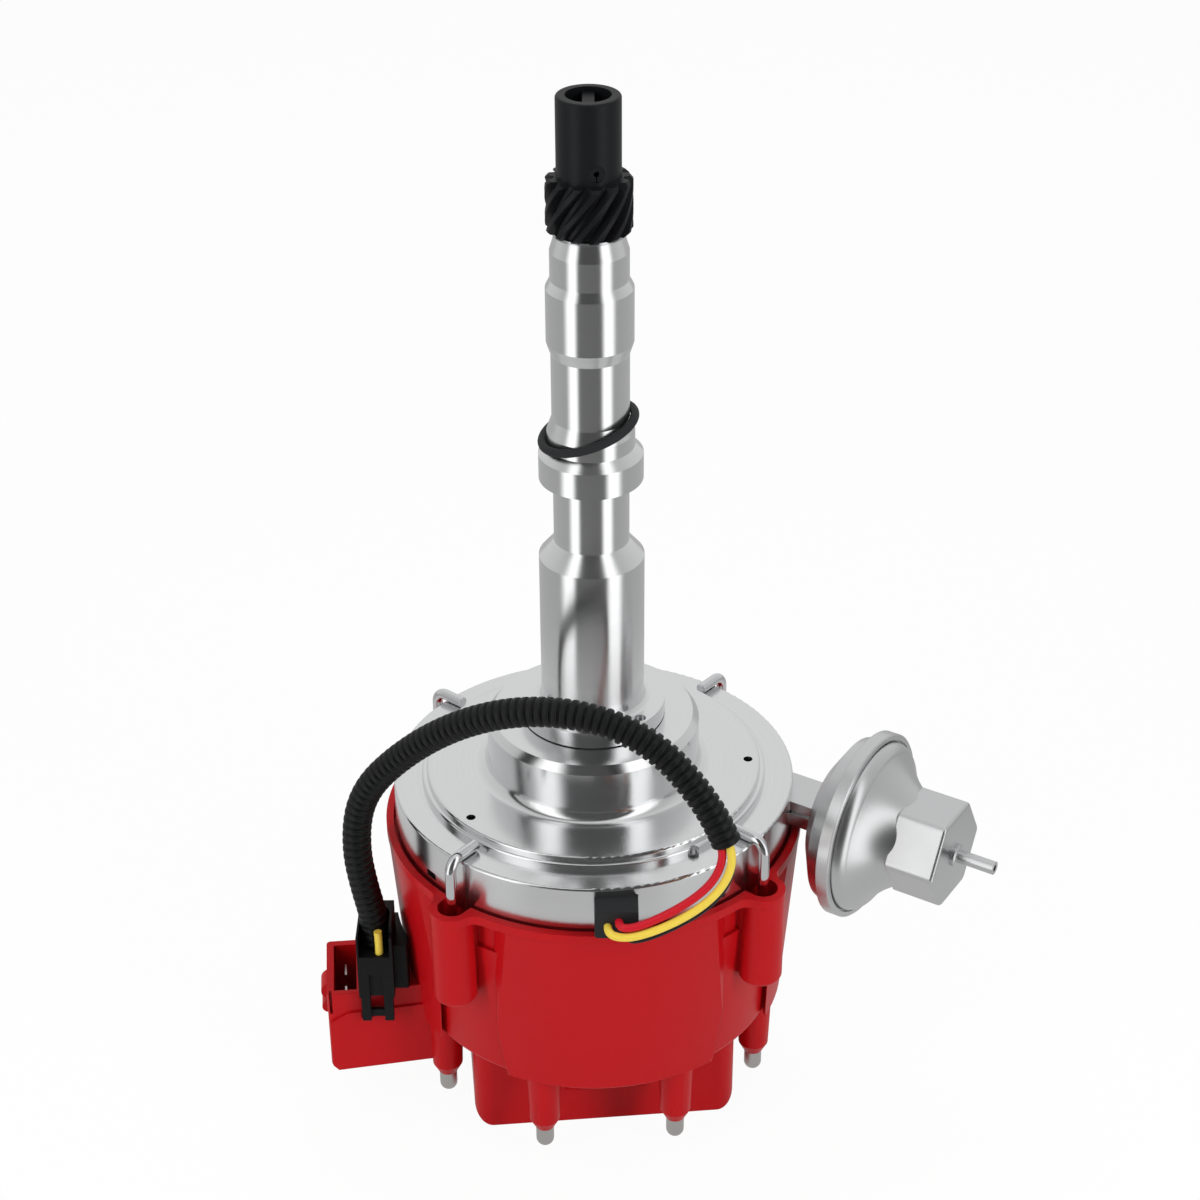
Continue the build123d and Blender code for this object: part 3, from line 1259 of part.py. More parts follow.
def make_canister_rear():
    """Rear shell, a shallow pressed dish whose edge is crimped over the seam."""
    back = SEAM_AT - REAR_DEPTH
    lip = CRIMP_SEAT_R + PRESS_GAP
    seam_low = SEAM_AT - DIAPHRAGM_THICK / 2
    fold = SEAM_AT + DIAPHRAGM_THICK / 2 + SHELL_THICK + PRESS_GAP
    return canister_turned([
        (REAR_BORE_R, back), (REAR_FACE_R, back), (REAR_SHOULDER_R, back + 5.5),
        (CRIMP_NECK_R, seam_low - 1.2), (CANISTER_R, seam_low - 1.2), (CANISTER_R, fold + 0.6),
        (CANISTER_R - 0.5, fold + 1.1), (CRIMP_NECK_R, fold + 1.1), (CRIMP_NECK_R, fold), (lip, fold),
        (lip, seam_low), (CRIMP_NECK_R - SHELL_THICK, seam_low),
        (REAR_SHOULDER_R - SHELL_THICK, back + 6.4), (REAR_FACE_R - 0.6, back + SHELL_THICK),
        (REAR_BORE_R, back + SHELL_THICK),
    ])


def make_canister_front():
    """Front shell: seam flange, flared cone and six-sided nose."""
    foot = SEAM_AT + DIAPHRAGM_THICK / 2
    end = SEAM_AT + FRONT_DEPTH
    inner_end = end - FRONT_WALL
    shoulder = CRIMP_NECK_R - 0.6
    outline = [
        Polyline(
            (shoulder - SHELL_THICK, 0, foot), (CRIMP_SEAT_R, 0, foot),
            (CRIMP_SEAT_R, 0, foot + SHELL_THICK), (shoulder, 0, foot + SHELL_THICK),
        ),
        ThreePointArc(
            (shoulder, 0, foot + SHELL_THICK), (shoulder - 0.9, 0, foot + 4.6),
            (shoulder - 3.4, 0, foot + 6.6),
        ),
        ThreePointArc(
            (shoulder - 3.4, 0, foot + 6.6), (FRONT_NECK_R + 4.6, 0, foot + 11.8),
            (FRONT_NECK_R, 0, end),
        ),
        Polyline(
            (FRONT_NECK_R, 0, end), (0, 0, end), (0, 0, inner_end), (FRONT_NECK_R - 2.4, 0, inner_end),
        ),
        ThreePointArc(
            (FRONT_NECK_R - 2.4, 0, inner_end), (FRONT_NECK_R + 2.8, 0, foot + 10.4),
            (shoulder - 4.8, 0, foot + 5.2),
        ),
        Line((shoulder - 4.8, 0, foot + 5.2), (shoulder - SHELL_THICK, 0, foot)),
    ]
    cone = revolve(make_face(outline), Axis.Z)
    nose = extrude(RegularPolygon(NOSE_FLATS / sqrt(3), 6), CANISTER_NOSE_END - NOSE_AT)
    nose = fillet(nose.edges().filter_by(Axis.Z), 3.0)
    nose = fillet(nose.faces().sort_by(Axis.Z)[-1].edges(), 1.2)
    front = cone + Pos(0, 0, SEAM_AT + NOSE_AT) * nose
    front -= rod(NOSE_HOLLOW_R, inner_end - 1, SEAM_AT + CANISTER_NOSE_END - FRONT_WALL)
    front -= rod(NIPPLE_R + PRESS_GAP, end, SEAM_AT + CANISTER_NOSE_END + 1)
    return canister_frame * front


def make_nipple():
    """Hose nipple pressed in the nose."""
    end = SEAM_AT + CANISTER_NOSE_END
    nipple = turned([
        (NIPPLE_BORE_R, end - 3), (NIPPLE_R, end - 3), (NIPPLE_R, end), (NIPPLE_BOSS_R, end),
        (NIPPLE_BOSS_R, end + NIPPLE_BOSS_LENGTH - 0.5), (NIPPLE_BOSS_R - 0.8, end + NIPPLE_BOSS_LENGTH),
        (NIPPLE_R, end + NIPPLE_BOSS_LENGTH), (NIPPLE_R, end + NIPPLE_LENGTH),
        (NIPPLE_BORE_R, end + NIPPLE_LENGTH),
    ])
    return canister_frame * nipple


def make_diaphragm():
    """Rubber diaphragm, clamped in the seam and free at its rolled middle."""
    half = DIAPHRAGM_THICK / 2
    return canister_turned([
        (CUP_R + AIR_GAP, SEAM_AT - half), (CRIMP_SEAT_R, SEAM_AT - half),
        (CRIMP_SEAT_R, SEAM_AT + half), (CUP_R + AIR_GAP, SEAM_AT + half),
    ])


def make_vacuum_rod():
    """Cup of the diaphragm with the flat link rod and its slotted eye."""
    cup = turned([
        (0, SEAM_AT - 1), (CUP_R, SEAM_AT - 1), (CUP_R, SEAM_AT + CUP_DEPTH),
        (CUP_R - 1, SEAM_AT + CUP_DEPTH), (CUP_R - 1, SEAM_AT), (0, SEAM_AT),
    ])
    half = ROD_WIDTH / 2
    thick = ROD_THICK / 2
    strip = block(-half, half, -thick, thick, 0, SEAM_AT - 1)
    eye = Rot(90, 0, 0) * Cylinder(ROD_EYE_R, ROD_THICK)
    slot_r = ARM_PIN_R + AIR_GAP
    hole = Rot(90, 0, 0) * Cylinder(slot_r, ROD_THICK + 2)
    slot = Pos(-0.7, 0, 0) * hole + Pos(0.7, 0, 0) * hole + Box(1.4, ROD_THICK + 2, 2 * slot_r)
    return canister_frame * (cup + strip + eye - slot)


def make_vacuum_spring():
    """Spring that pushes the diaphragm back towards the bowl."""
    length = FRONT_DEPTH - FRONT_WALL - 0.2
    spring = Pos(0, 0, SEAM_AT + 0.1) * coil_spring(
        VACUUM_SPRING_R, VACUUM_WIRE_R, length, VACUUM_TURNS,
    )
    return canister_frame * spring


def bracket_arm(grow):
    """Channel of the bracket through the bowl's wall, or its window when grown."""
    half_x = BRACKET_HALF_WIDTH + grow
    half_y = BRACKET_HALF_HEIGHT + grow
    start = sqrt((bowl_in_r - SADDLE_THICK) ** 2 - (ARM_R + BRACKET_HALF_WIDTH) ** 2) - grow
    return block(-half_x, half_x, -half_y, half_y, start, SEAM_AT - REAR_DEPTH)


def make_bracket():
    """Bracket: saddle inside the bowl, channel for the rod and plate behind the canister."""
    back = SEAM_AT - REAR_DEPTH
    inner_r = bowl_in_r - SADDLE_THICK
    top = flange_top - SADDLE_TOP
    plate = block(-14, 14, -BRACKET_TAB, 11, back - BRACKET_SHEET, back)
    plate = fillet(plate.edges().filter_by(Axis.Z), 5)
    bracket = canister_frame * (bracket_arm(0) + plate)
    reach = BRACKET_HALF_WIDTH + SADDLE_EAR
    saddle = ring(bowl_in_r - PRESS_GAP, inner_r, top - SADDLE_HEIGHT, top)
    bracket += saddle & canister_frame * block(-reach, reach, -FLANGE_R, FLANGE_R, ARM_R, back)
    inner_x = BRACKET_HALF_WIDTH - BRACKET_SHEET
    inner_y = BRACKET_HALF_HEIGHT - BRACKET_SHEET
    bracket -= canister_frame * block(-inner_x, inner_x, -inner_y, inner_y, ARM_R, back + 1)
    groove = BRACKET_HALF_WIDTH - BRACKET_GROOVE
    for side in (-1, 1):
        low, high = sorted((side * groove, side * (BRACKET_HALF_WIDTH + 1)))
        groove_start = FLANGE_R + 0.5
        bracket -= canister_frame * block(low, high, 0, 2 * BRACKET_GROOVE, groove_start - 6, back - 2)
    bracket -= rod(inner_r, canister_z - 40, canister_z + 40)
    for side in (-1, 1):
        drill = rod(SMALL_SCREW_R + PRESS_GAP, -SADDLE_THICK - 1, 1)
        spot_face = rod(SMALL_SCREW_HEAD_R + 0.3, 0, SADDLE_THICK)
        bracket -= bracket_screw_place(side) * (drill + spot_face)
    return bracket


def bracket_screw_place(side):
    """Place of a bracket screw, its head on the saddle and its shank in the wall."""
    across = ARM_R + side * (BRACKET_HALF_WIDTH + SADDLE_EAR / 2)
    heading = arm_heading - degrees(acos(across / bowl_in_r))
    height = flange_top - SADDLE_TOP - SADDLE_HEIGHT / 2
    return Rot(0, 0, heading) * Pos(bowl_in_r - SADDLE_THICK, 0, height) * Rot(0, -90, 0)


def make_bracket_screws():
    """Two screws that hold the bracket on the bowl's wall."""
    one = screw(
        SMALL_SCREW_R, SMALL_SCREW_HEAD_R, SMALL_SCREW_HEAD,
        SADDLE_THICK + BRACKET_SCREW_BITE - 0.2,
    )
    return [bracket_screw_place(side) * one for side in (-1, 1)]


# Electronics

def make_module():
    """Potted ignition module, a curved block on the bowl's floor."""
    bottom = floor_in - MODULE_THICK
    body = sector(MODULE_OUTER_R, MODULE_INNER_R, MODULE_START, MODULE_END, bottom, floor_in)
    for heading in module_screw_headings():
        place = at_heading(heading, module_middle_r)
        body -= place * rod(SMALL_SCREW_R + PRESS_GAP, bottom - 1, floor_in + 1)
        body -= place * rod(SMALL_SCREW_HEAD_R + 1, bottom - 1, floor_in - MODULE_SINK)
    return body


def module_screw_headings():
    """Headings of the module's two screws, near its ends."""
    return MODULE_START + 7, MODULE_END - 7


def make_module_screws():
    """Two screws that hold the module on the floor."""
    one = Pos(0, 0, floor_in - MODULE_SINK) * Rot(180, 0, 0) * screw(
        SMALL_SCREW_R, SMALL_SCREW_HEAD_R, SMALL_SCREW_HEAD, MODULE_SINK + MODULE_SCREW_BITE - 0.2,
    )
    return [at_heading(heading, module_middle_r) * one for heading in module_screw_headings()]


def make_capacitor():
    """Noise capacitor, a small can lying on the floor with its foot."""
    height = floor_in - CAPACITOR_R - 1.2
    can = Rot(90, 0, 0) * Cylinder(CAPACITOR_R, CAPACITOR_LENGTH)
    foot = block(-CAPACITOR_R, CAPACITOR_R, -7, 7, CAPACITOR_R - 2, CAPACITOR_R + 1.2)
    return at_heading(CAPACITOR_HEADING, CAPACITOR_RING_R) * Pos(0, 0, height) * (can + foot)


# Writing the pieces

def write(name, shapes):
    """Write one piece, or a group of like solids, as one file."""
    solids = shapes if isinstance(shapes, list) else [shapes]
    whole = solids[0] if len(solids) == 1 else Compound(children=[Part() + solid for solid in solids])
    export_step(whole, "parts/" + name + ".step")


def main():
    os.makedirs("parts", exist_ok=True)
    bush_low = pivot_end
    write("bowl", make_bowl())
    write("stem", make_stem())
    write("gear_end_bush", ring(BUSH_R, SHAFT_R + RUN_GAP, stem_top - BUSH_LENGTH, stem_top))
    write("bowl_end_bush", ring(BUSH_R, SHAFT_R + RUN_GAP, bush_low, bush_low + BUSH_LENGTH))
    write("hub_gasket", make_hub_gasket())
    write("stem_screws", make_stem_screws())
    write("seal_ring", make_seal_ring())
    write("main_shaft", make_shaft())
    write("drive_gear", make_gear())
    write("roll_pin", make_roll_pin())
    write("thrust_washer", ring(WASHER_R, SHAFT_R + PRESS_GAP, washer_bottom, gear_bottom))
    write("advance_cam", make_advance_cam())
    write("timer_core", make_timer_core())
    write("weight_base", make_weight_base())
    write("advance_weight_a", make_weight(0))
    write("advance_weight_b", make_weight(1))
    write("advance_spring_a", make_advance_spring(0))
    write("advance_spring_b", make_advance_spring(1))
    write("rotor", make_rotor())
    write("rotor_contact", make_rotor_contact())
    write("rotor_screws", make_rotor_screws())
    write("pickup_plate", make_pickup_plate())
    write("pickup_coil", ring(PICKUP_R, PICKUP_INNER_R, coil_under, plate_under))
    write("pickup_magnet", ring(PICKUP_R, PICKUP_INNER_R, magnet_under, coil_under))
    write("pole_piece", make_pole_piece())
    write("canister_rear", make_canister_rear())
    write("canister_front", make_canister_front())
    write("vacuum_nipple", make_nipple())
    write("diaphragm", make_diaphragm())
    write("vacuum_rod", make_vacuum_rod())
    write("vacuum_spring", make_vacuum_spring())
    write("canister_bracket", make_bracket())
    write("bowl_screws", make_bracket_screws() + make_module_screws())
    write("ignition_module", make_module())
    write("capacitor", make_capacitor())
    write("wire_grommet", make_grommet())
    write("wire_yellow", make_yellow_wire())
    write("wire_red", tube_along(RED_ROUTE, WIRE_R, "red wire"))
    write("wire_black", tube_along(BLACK_ROUTE, WIRE_R, "black wire"))
    write("conduit", make_conduit())
    write("harness_plug", make_plug())
    write("distributor_cap", make_cap())
    write("outlet_terminals", make_terminals())
    write("carbon_button", make_button())
    write("button_spring", Pos(0, 0, coil_top) * coil_spring(2.4, 0.3, button_end - coil_top, 4))
    write("arc_seal", make_arc_seal())
    write("coil_core", make_coil_core())
    write("coil_winding", make_winding())
    write("coil_cover", make_cover())
    write("cap_screws", make_coil_screws() + make_cover_screws())
    write("connector_blades", make_blades())
    for number, heading in enumerate(latch_headings, start=1):
        write("latch_rod_" + str(number), make_latch_rod(heading))
        write("latch_spring_" + str(number), make_latch_spring(heading))


main()
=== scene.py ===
import math

import bmesh
import bpy
from mathutils import Matrix, Vector


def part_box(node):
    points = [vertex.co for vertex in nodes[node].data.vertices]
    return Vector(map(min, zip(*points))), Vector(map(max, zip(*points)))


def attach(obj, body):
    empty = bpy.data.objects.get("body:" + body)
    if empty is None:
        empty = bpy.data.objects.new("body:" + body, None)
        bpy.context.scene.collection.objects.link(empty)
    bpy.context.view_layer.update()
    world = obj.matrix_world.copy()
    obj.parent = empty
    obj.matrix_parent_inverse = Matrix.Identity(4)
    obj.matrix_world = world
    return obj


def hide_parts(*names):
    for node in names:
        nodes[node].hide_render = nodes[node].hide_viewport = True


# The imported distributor.
# It stands on its coil cover with the shaft along +Z, and its front faces -Y.
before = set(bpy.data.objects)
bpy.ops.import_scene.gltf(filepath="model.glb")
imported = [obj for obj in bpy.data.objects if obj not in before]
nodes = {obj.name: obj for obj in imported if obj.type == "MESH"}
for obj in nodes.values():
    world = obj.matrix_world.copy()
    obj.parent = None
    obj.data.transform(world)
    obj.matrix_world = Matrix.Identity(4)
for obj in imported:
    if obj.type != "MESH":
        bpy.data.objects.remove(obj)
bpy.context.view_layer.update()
MM = 0.001


# The camera.
# It looks down at the front from about 0.85 m away, through a long lens.
CAMERA_PLACE = (2.65 * MM, -722.3 * MM, 468.2 * MM)
CAMERA_DOWN = 30.8
CAMERA_ROLL = -0.34
camera_data = bpy.data.cameras.new("camera")
camera_data.lens = 75
camera_data.sensor_width = 36
camera = bpy.data.objects.new("camera", camera_data)
camera.location = CAMERA_PLACE
tilt = Matrix.Rotation(math.radians(90 - CAMERA_DOWN), 3, "X")
roll = Matrix.Rotation(math.radians(CAMERA_ROLL), 3, "Z")
camera.rotation_euler = (tilt @ roll).to_euler()
bpy.context.scene.collection.objects.link(camera)
bpy.context.scene.camera = camera
bpy.context.scene.view_settings.view_transform = "Standard"


# The floor and the room.
# The floor is white paper, which the camera sees as plain white under the object's soft shadow.
# In the metal both show a painted reflection: pale, but dark to the front, between two bright painted strips
# that stand in for window light.
def shader_node(tree, kind, **inputs):
    """Add a node, set what is a value and link what is a socket.

    A socket goes by its name, or by its number as _0, _1 and so on.
    """
    node = tree.nodes.new(kind)
    for name, value in inputs.items():
        socket = node.inputs[int(name[1:])] if name[0] == "_" else node.inputs[name.replace("_", " ")]
        if isinstance(value, bpy.types.NodeSocket):
            tree.links.new(value, socket)
        else:
            socket.default_value = value
    return node


def math_node(tree, operation, first, second=0.0, third=0.0):
    """Add a Math node and return its result."""
    node = shader_node(tree, "ShaderNodeMath", _0=first, _1=second, _2=third)
    node.operation = operation
    return node.outputs[0]


def from_shaft(tree, spot):
    """Distance of a place from the shaft's line."""
    flat = shader_node(tree, "ShaderNodeCombineXYZ", X=spot.outputs["X"], Y=spot.outputs["Y"])
    reach = shader_node(tree, "ShaderNodeVectorMath", _0=flat.outputs[0])
    reach.operation = "LENGTH"
    return reach.outputs["Value"]


# A ramp's colour stops at 1, so the greys are written as shares of the brightest light
GLOW = 1.5


def glow_grey(grey):
    """Colour that shows as a grey once it glows at full strength."""
    return (grey / GLOW, grey / GLOW, grey / GLOW, 1)


def greys_round(tree, spot, greys):
    """Grey by heading round the shaft, from pairs of degrees and grey.

    0 degrees is the front, and the heading rises to the right.
    """
    forward = math_node(tree, "MULTIPLY", spot.outputs["Y"], -1.0)
    around = math_node(tree, "ARCTAN2", spot.outputs["X"], forward)
    share = math_node(tree, "MULTIPLY_ADD", around, 0.5 / math.pi, 0.5)
    ramp = shader_node(tree, "ShaderNodeValToRGB", Fac=share)
    stops = ramp.color_ramp.elements
    while len(stops) < len(greys):
        stops.new(0.5)
    for stop, (heading, grey) in zip(stops, greys):
        stop.position = heading / 360 + 0.5
        stop.color = glow_grey(grey)
    return ramp.outputs[0]


def blend(tree, value, low, high, first, second):
    """Go from a first grey to a second while a value rises from low to high."""
    share = shader_node(tree, "ShaderNodeMapRange", Value=value, From_Min=low, From_Max=high)
    # Of a Mix node's sockets, 6 and 7 are the colours, and output 2 is their mix
    mix = tree.nodes.new("ShaderNodeMix")
    mix.data_type = "RGBA"
    tree.links.new(share.outputs[0], mix.inputs[0])
    for socket, grey in ((mix.inputs[6], first), (mix.inputs[7], second)):
        if isinstance(grey, bpy.types.NodeSocket):
            tree.links.new(grey, socket)
        else:
            socket.default_value = glow_grey(grey)
    return mix.outputs[2]


WHITE = (1, 1, 1, 1)
SOFT_LIGHT = 0.40
ROOM_TOP = 0.80
# Height, in a heading of length 1, at which the sides give way to the room's top
TOP_STARTS = 0.90
TOP_FULL = 0.97
# Heading round the shaft in degrees, and grey of the painted reflection that glossy rays see in the room
painted_room_greys = [
    (-180, 0.80), (-100, 0.62), (-70, 0.50), (-57, 1.45), (-41, 1.45), (-30, 0.08),
    (30, 0.08), (40, 1.45), (58, 1.45), (70, 0.50), (100, 0.62), (180, 0.80),
]
room = bpy.data.worlds.new("room")
room.use_nodes = True
bpy.context.scene.world = room
tree = room.node_tree
tree.nodes.clear()
direction = shader_node(tree, "ShaderNodeTexCoord")
heading = shader_node(tree, "ShaderNodeSeparateXYZ", Vector=direction.outputs["Generated"])
sides = greys_round(tree, heading, painted_room_greys)
mirrored = blend(tree, heading.outputs["Z"], TOP_STARTS, TOP_FULL, sides, ROOM_TOP)
# Glossy and transmission rays see the painted reflection; other rays get soft white light, and the camera
# plain white
paths = shader_node(tree, "ShaderNodeLightPath")
painted_reflection = shader_node(tree, "ShaderNodeBackground", Color=mirrored, Strength=GLOW)
soft = shader_node(tree, "ShaderNodeBackground", Color=WHITE, Strength=SOFT_LIGHT)
plain = shader_node(tree, "ShaderNodeBackground", Color=WHITE, Strength=1.0)
shiny = math_node(tree, "MAXIMUM", paths.outputs["Is Glossy Ray"], paths.outputs["Is Transmission Ray"])
lit = shader_node(tree, "ShaderNodeMixShader", _0=shiny, _1=soft.outputs[0], _2=painted_reflection.outputs[0])
seen = shader_node(tree, "ShaderNodeMixShader", _0=paths.outputs["Is Camera Ray"], _1=lit.outputs[0],
                   _2=plain.outputs[0])
shader_node(tree, "ShaderNodeOutputWorld", Surface=seen.outputs[0])

# Painted reflection: the floor glows only for glossy rays, with painted strips beyond an even grey round the
# object
painted_floor_greys = [
    (-180, 0.50), (-71, 0.40), (-57, 1.45), (-41, 1.45), (-32, 0.17),
    (30, 0.15), (40, 1.45), (58, 1.45), (71, 0.40), (180, 0.50),
]
# Even grey of the painted reflection near the object, out to this radius
NEAR_GREY = 0.58
NEAR_FLOOR_R = 0.286
NEAR_FLOOR_FADE = 0.012
FLOOR_HALF = 3.0
FLOOR_GAP = 0.0002
PAPER_GREY = 0.86
# Share of plain white in what the camera sees of the paper, so that the shadow stays faint
PAPER_VEIL = 0.95


def mesh_piece(name, shape):
    """Put a finished bmesh into the scene as an object."""
    mesh = bpy.data.meshes.new(name)
    shape.to_mesh(mesh)
    shape.free()
    piece = bpy.data.objects.new(name, mesh)
    bpy.context.scene.collection.objects.link(piece)
    return piece


floor_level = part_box("coil_cover")[0].z
shape = bmesh.new()
bmesh.ops.create_grid(shape, x_segments=1, y_segments=1, size=FLOOR_HALF,
                      matrix=Matrix.Translation((0, 0, floor_level - FLOOR_GAP)))
floor = mesh_piece("floor", shape)
paper = bpy.data.materials.new("white_paper")
paper.use_nodes = True
tree = paper.node_tree
tree.nodes.clear()
paths = shader_node(tree, "ShaderNodeLightPath")
place = shader_node(tree, "ShaderNodeTexCoord")
spot = shader_node(tree, "ShaderNodeSeparateXYZ", Vector=place.outputs["Object"])
painted_far_greys = greys_round(tree, spot, painted_floor_greys)
painted_strips = blend(tree, from_shaft(tree, spot), NEAR_FLOOR_R, NEAR_FLOOR_R + NEAR_FLOOR_FADE,
               NEAR_GREY, painted_far_greys)
matt = shader_node(tree, "ShaderNodeBsdfDiffuse", Color=(PAPER_GREY, PAPER_GREY, PAPER_GREY, 1))
glow = shader_node(tree, "ShaderNodeEmission", Color=WHITE, Strength=1.0)
# Painted glow of the floor, seen only in reflections
painted_reflection_glow = shader_node(tree, "ShaderNodeEmission", Color=painted_strips, Strength=GLOW)
veil = math_node(tree, "MULTIPLY", paths.outputs["Is Camera Ray"], PAPER_VEIL)
veiled = shader_node(tree, "ShaderNodeMixShader", _0=veil, _1=matt.outputs[0], _2=glow.outputs[0])
paper_look = shader_node(tree, "ShaderNodeMixShader", _0=paths.outputs["Is Glossy Ray"],
                         _1=veiled.outputs[0], _2=painted_reflection_glow.outputs[0])
shader_node(tree, "ShaderNodeOutputMaterial", Surface=paper_look.outputs[0])
floor.data.materials.append(paper)

LAMP_TARGET = (0, 0, 0.03)
STRIP_SIDE = 0.52
STRIP_POWER = 2.4
TOP_POWER = 5.0


def soft_box(name, place, width, height, power):
    """Add a rectangular lamp that faces the object. The metal mirrors the painted room in its place."""
    data = bpy.data.lights.new(name, "AREA")
    data.shape = "RECTANGLE"
    data.size = width
    data.size_y = height
    data.energy = power
    lamp = bpy.data.objects.new(name, data)
    lamp.location = place
    lamp.visible_glossy = False
    away = Vector(place) - Vector(LAMP_TARGET)
    lamp.rotation_euler = away.to_track_quat("Z", "Y").to_euler()
    bpy.context.scene.collection.objects.link(lamp)


for name, side in (("left_strip", -STRIP_SIDE), ("right_strip", STRIP_SIDE)):
    soft_box(name, (side, -0.44, 0.20), width=0.11, height=0.72, power=STRIP_POWER)
soft_box("top_panel", (0, 0.25, 0.95), width=0.9, height=0.7, power=TOP_POWER)


# The harness.
# A corrugated loom of black plastic carries three wires from the plug towards the bowl.
# The wires leave its mouth side by side and run into a rubber grommet in the bowl's wall.
def wire_spline(name, route, radius):
    """Smooth curve through a route given in millimetres, with a round section."""
    curve = bpy.data.curves.new(name, "CURVE")
    curve.dimensions = "3D"
    curve.resolution_u = 16
    curve.bevel_depth = radius
    curve.bevel_resolution = 6
    curve.use_fill_caps = radius > 0
    spline = curve.splines.new("NURBS")
    spline.points.add(len(route) - 1)
    for point, (x, y, z) in zip(spline.points, route):
        point.co = (x * MM, y * MM, z * MM, 1)
    spline.order_u = 3
    spline.use_endpoint_u = True
    piece = bpy.data.objects.new(name, curve)
    bpy.context.scene.collection.objects.link(piece)
    return piece


def noise(tree, spot, scale, detail):
    """Cloudy pattern from 0 to 1."""
    cloud = shader_node(tree, "ShaderNodeTexNoise", Vector=spot, Scale=scale, Detail=detail)
    return cloud.outputs["Fac"]


def spread(tree, share, low, high):
    """Turn a share from 0 to 1 into a value from low to high."""
    return shader_node(tree, "ShaderNodeMapRange", Value=share, To_Min=low, To_Max=high).outputs[0]


EDGE_R = 0.35 * MM
EDGE_SAMPLES = 4
GRAIN_STRENGTH = 0.25
GLOSS_PATCH = 30         # width of a patch of gloss, in grains
GLOSS_SPREAD = 0.18


def moulded(name, colour, roughness, grain, depth, shine=0.15):
    """Moulded plastic or rubber with a fine grain in its surface and softened edges."""
    material = bpy.data.materials.new(name)
    material.use_nodes = True
    tree = material.node_tree
    surface = tree.nodes["Principled BSDF"]
    surface.inputs["Base Color"].default_value = (*colour, 1)
    surface.inputs["Specular IOR Level"].default_value = shine
    place = shader_node(tree, "ShaderNodeTexCoord").outputs["Object"]
    patches = noise(tree, place, grain / GLOSS_PATCH, detail=2.0)
    gloss = spread(tree, patches, roughness * (1 - GLOSS_SPREAD), roughness * (1 + GLOSS_SPREAD))
    tree.links.new(gloss, surface.inputs["Roughness"])
    edge = shader_node(tree, "ShaderNodeBevel", Radius=EDGE_R)
    edge.samples = EDGE_SAMPLES
    bump = shader_node(tree, "ShaderNodeBump", Strength=GRAIN_STRENGTH, Distance=depth,
                       Height=noise(tree, place, grain, detail=4.0), Normal=edge.outputs[0])
    tree.links.new(bump.outputs[0], surface.inputs["Normal"])
    return material


def insulated(name, colour, roughness):
    """Soft insulation of a wire."""
    return moulded(name, colour, roughness, grain=900, depth=0.05 * MM, shine=0.3)


insulation = {
    "wire_red": insulated("red_insulation", (0.55, 0.008, 0.02), roughness=0.32),
    "wire_yellow": insulated("yellow_insulation", (0.80, 0.60, 0.075), roughness=0.34),
    "wire_black": insulated("black_insulation", (0.006, 0.006, 0.007), roughness=0.36),
}
WIRE_R = 1.4 * MM
wire_routes = {
    "wire_yellow": [
        (42.2, -74.2, -4.9), (44.4, -75.6, -10.5), (44.4, -77.6, -16.4), (41.6, -79.4, -22.4),
        (36.4, -81.2, -27.8), (29.0, -82.8, -32.6), (20.6, -83.6, -36.8), (12.6, -83.6, -39.8),
        (7.2, -82.6, -40.4), (4.6, -81.0, -39.6), (4.6, -78.0, -39.6),
    ],
    "wire_red": [
        (39.7, -73.2, -6.2), (41.6, -74.6, -11.0), (41.2, -76.4, -16.0), (38.6, -78.2, -21.2),
        (33.8, -79.8, -25.8), (27.0, -81.2, -30.2), (19.6, -81.9, -34.2), (13.0, -82.0, -37.2),
        (8.2, -81.4, -37.6), (8.2, -78.0, -37.6),
    ],
    "wire_black": [
        (42.0, -71.3, -5.7), (44.4, -72.6, -12.2), (44.8, -74.7, -18.8), (42.2, -77.0, -25.0),
        (37.0, -79.2, -30.4), (29.6, -80.8, -35.2), (21.2, -81.7, -39.4), (14.6, -82.0, -41.8),
        (11.4, -81.4, -42.2), (11.4, -78.0, -42.2),
    ],
}
for wire, route in wire_routes.items():
    piece = wire_spline(wire + "_run", route, WIRE_R)
    piece.data.materials.append(insulation[wire])
    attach(piece, "housing")
    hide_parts(wire)

tail_route = [(-75.2, -35.2, -84.4), (-75.0, -35.4, -80.2), (-75.3, -35.1, -75.0)]
tail = wire_spline("wire_yellow_tail", tail_route, WIRE_R)
tail.data.materials.append(insulation["wire_yellow"])
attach(tail, "housing")

loom_route = [
    (-76.8, -28.6, -84.4), (-76.8, -28.7, -74.0), (-79.6, -28.4, -60.5), (-81.7, -27.4, -46.0),
    (-80.6, -25.6, -31.0), (-75.6, -26.0, -19.0), (-66.0, -29.0, -7.0), (-54.0, -33.6, 5.0),
    (-40.0, -39.6, 15.6), (-24.0, -46.0, 23.4), (-7.0, -51.6, 26.2), (9.0, -56.4, 24.0),
    (22.5, -61.6, 17.6), (33.0, -67.6, 7.4), (40.0, -72.0, -2.6), (43.0, -74.0, -9.6),
]
LOOM_SIDES = 28
RIB_PITCH = 2.75 * MM
RIB_R = 5.0 * MM
GROOVE_R = 4.05 * MM
BORE_R = 3.6 * MM
BORE_SHOWN = 6 * MM      # how far the open mouth can be looked into
# Share of one rib's pitch, and height from the groove's floor to the crest
rib_section = [
    (0.0, 0.0), (0.10, 0.05), (0.17, 0.72), (0.27, 0.95), (0.44, 1.0), (0.50, 0.90), (0.56, 1.0),
    (0.73, 0.95), (0.83, 0.72), (0.90, 0.05),
]

guide = wire_spline("loom_guide", loom_route, 0)
guide_mesh = bpy.data.meshes.new_from_object(guide)
line = [vertex.co.copy() for vertex in guide_mesh.vertices]
bpy.data.objects.remove(guide)
bpy.data.meshes.remove(guide_mesh)
travelled = [0.0]
for before, after in zip(line, line[1:]):
    travelled.append(travelled[-1] + (after - before).length)
loom_length = travelled[-1]


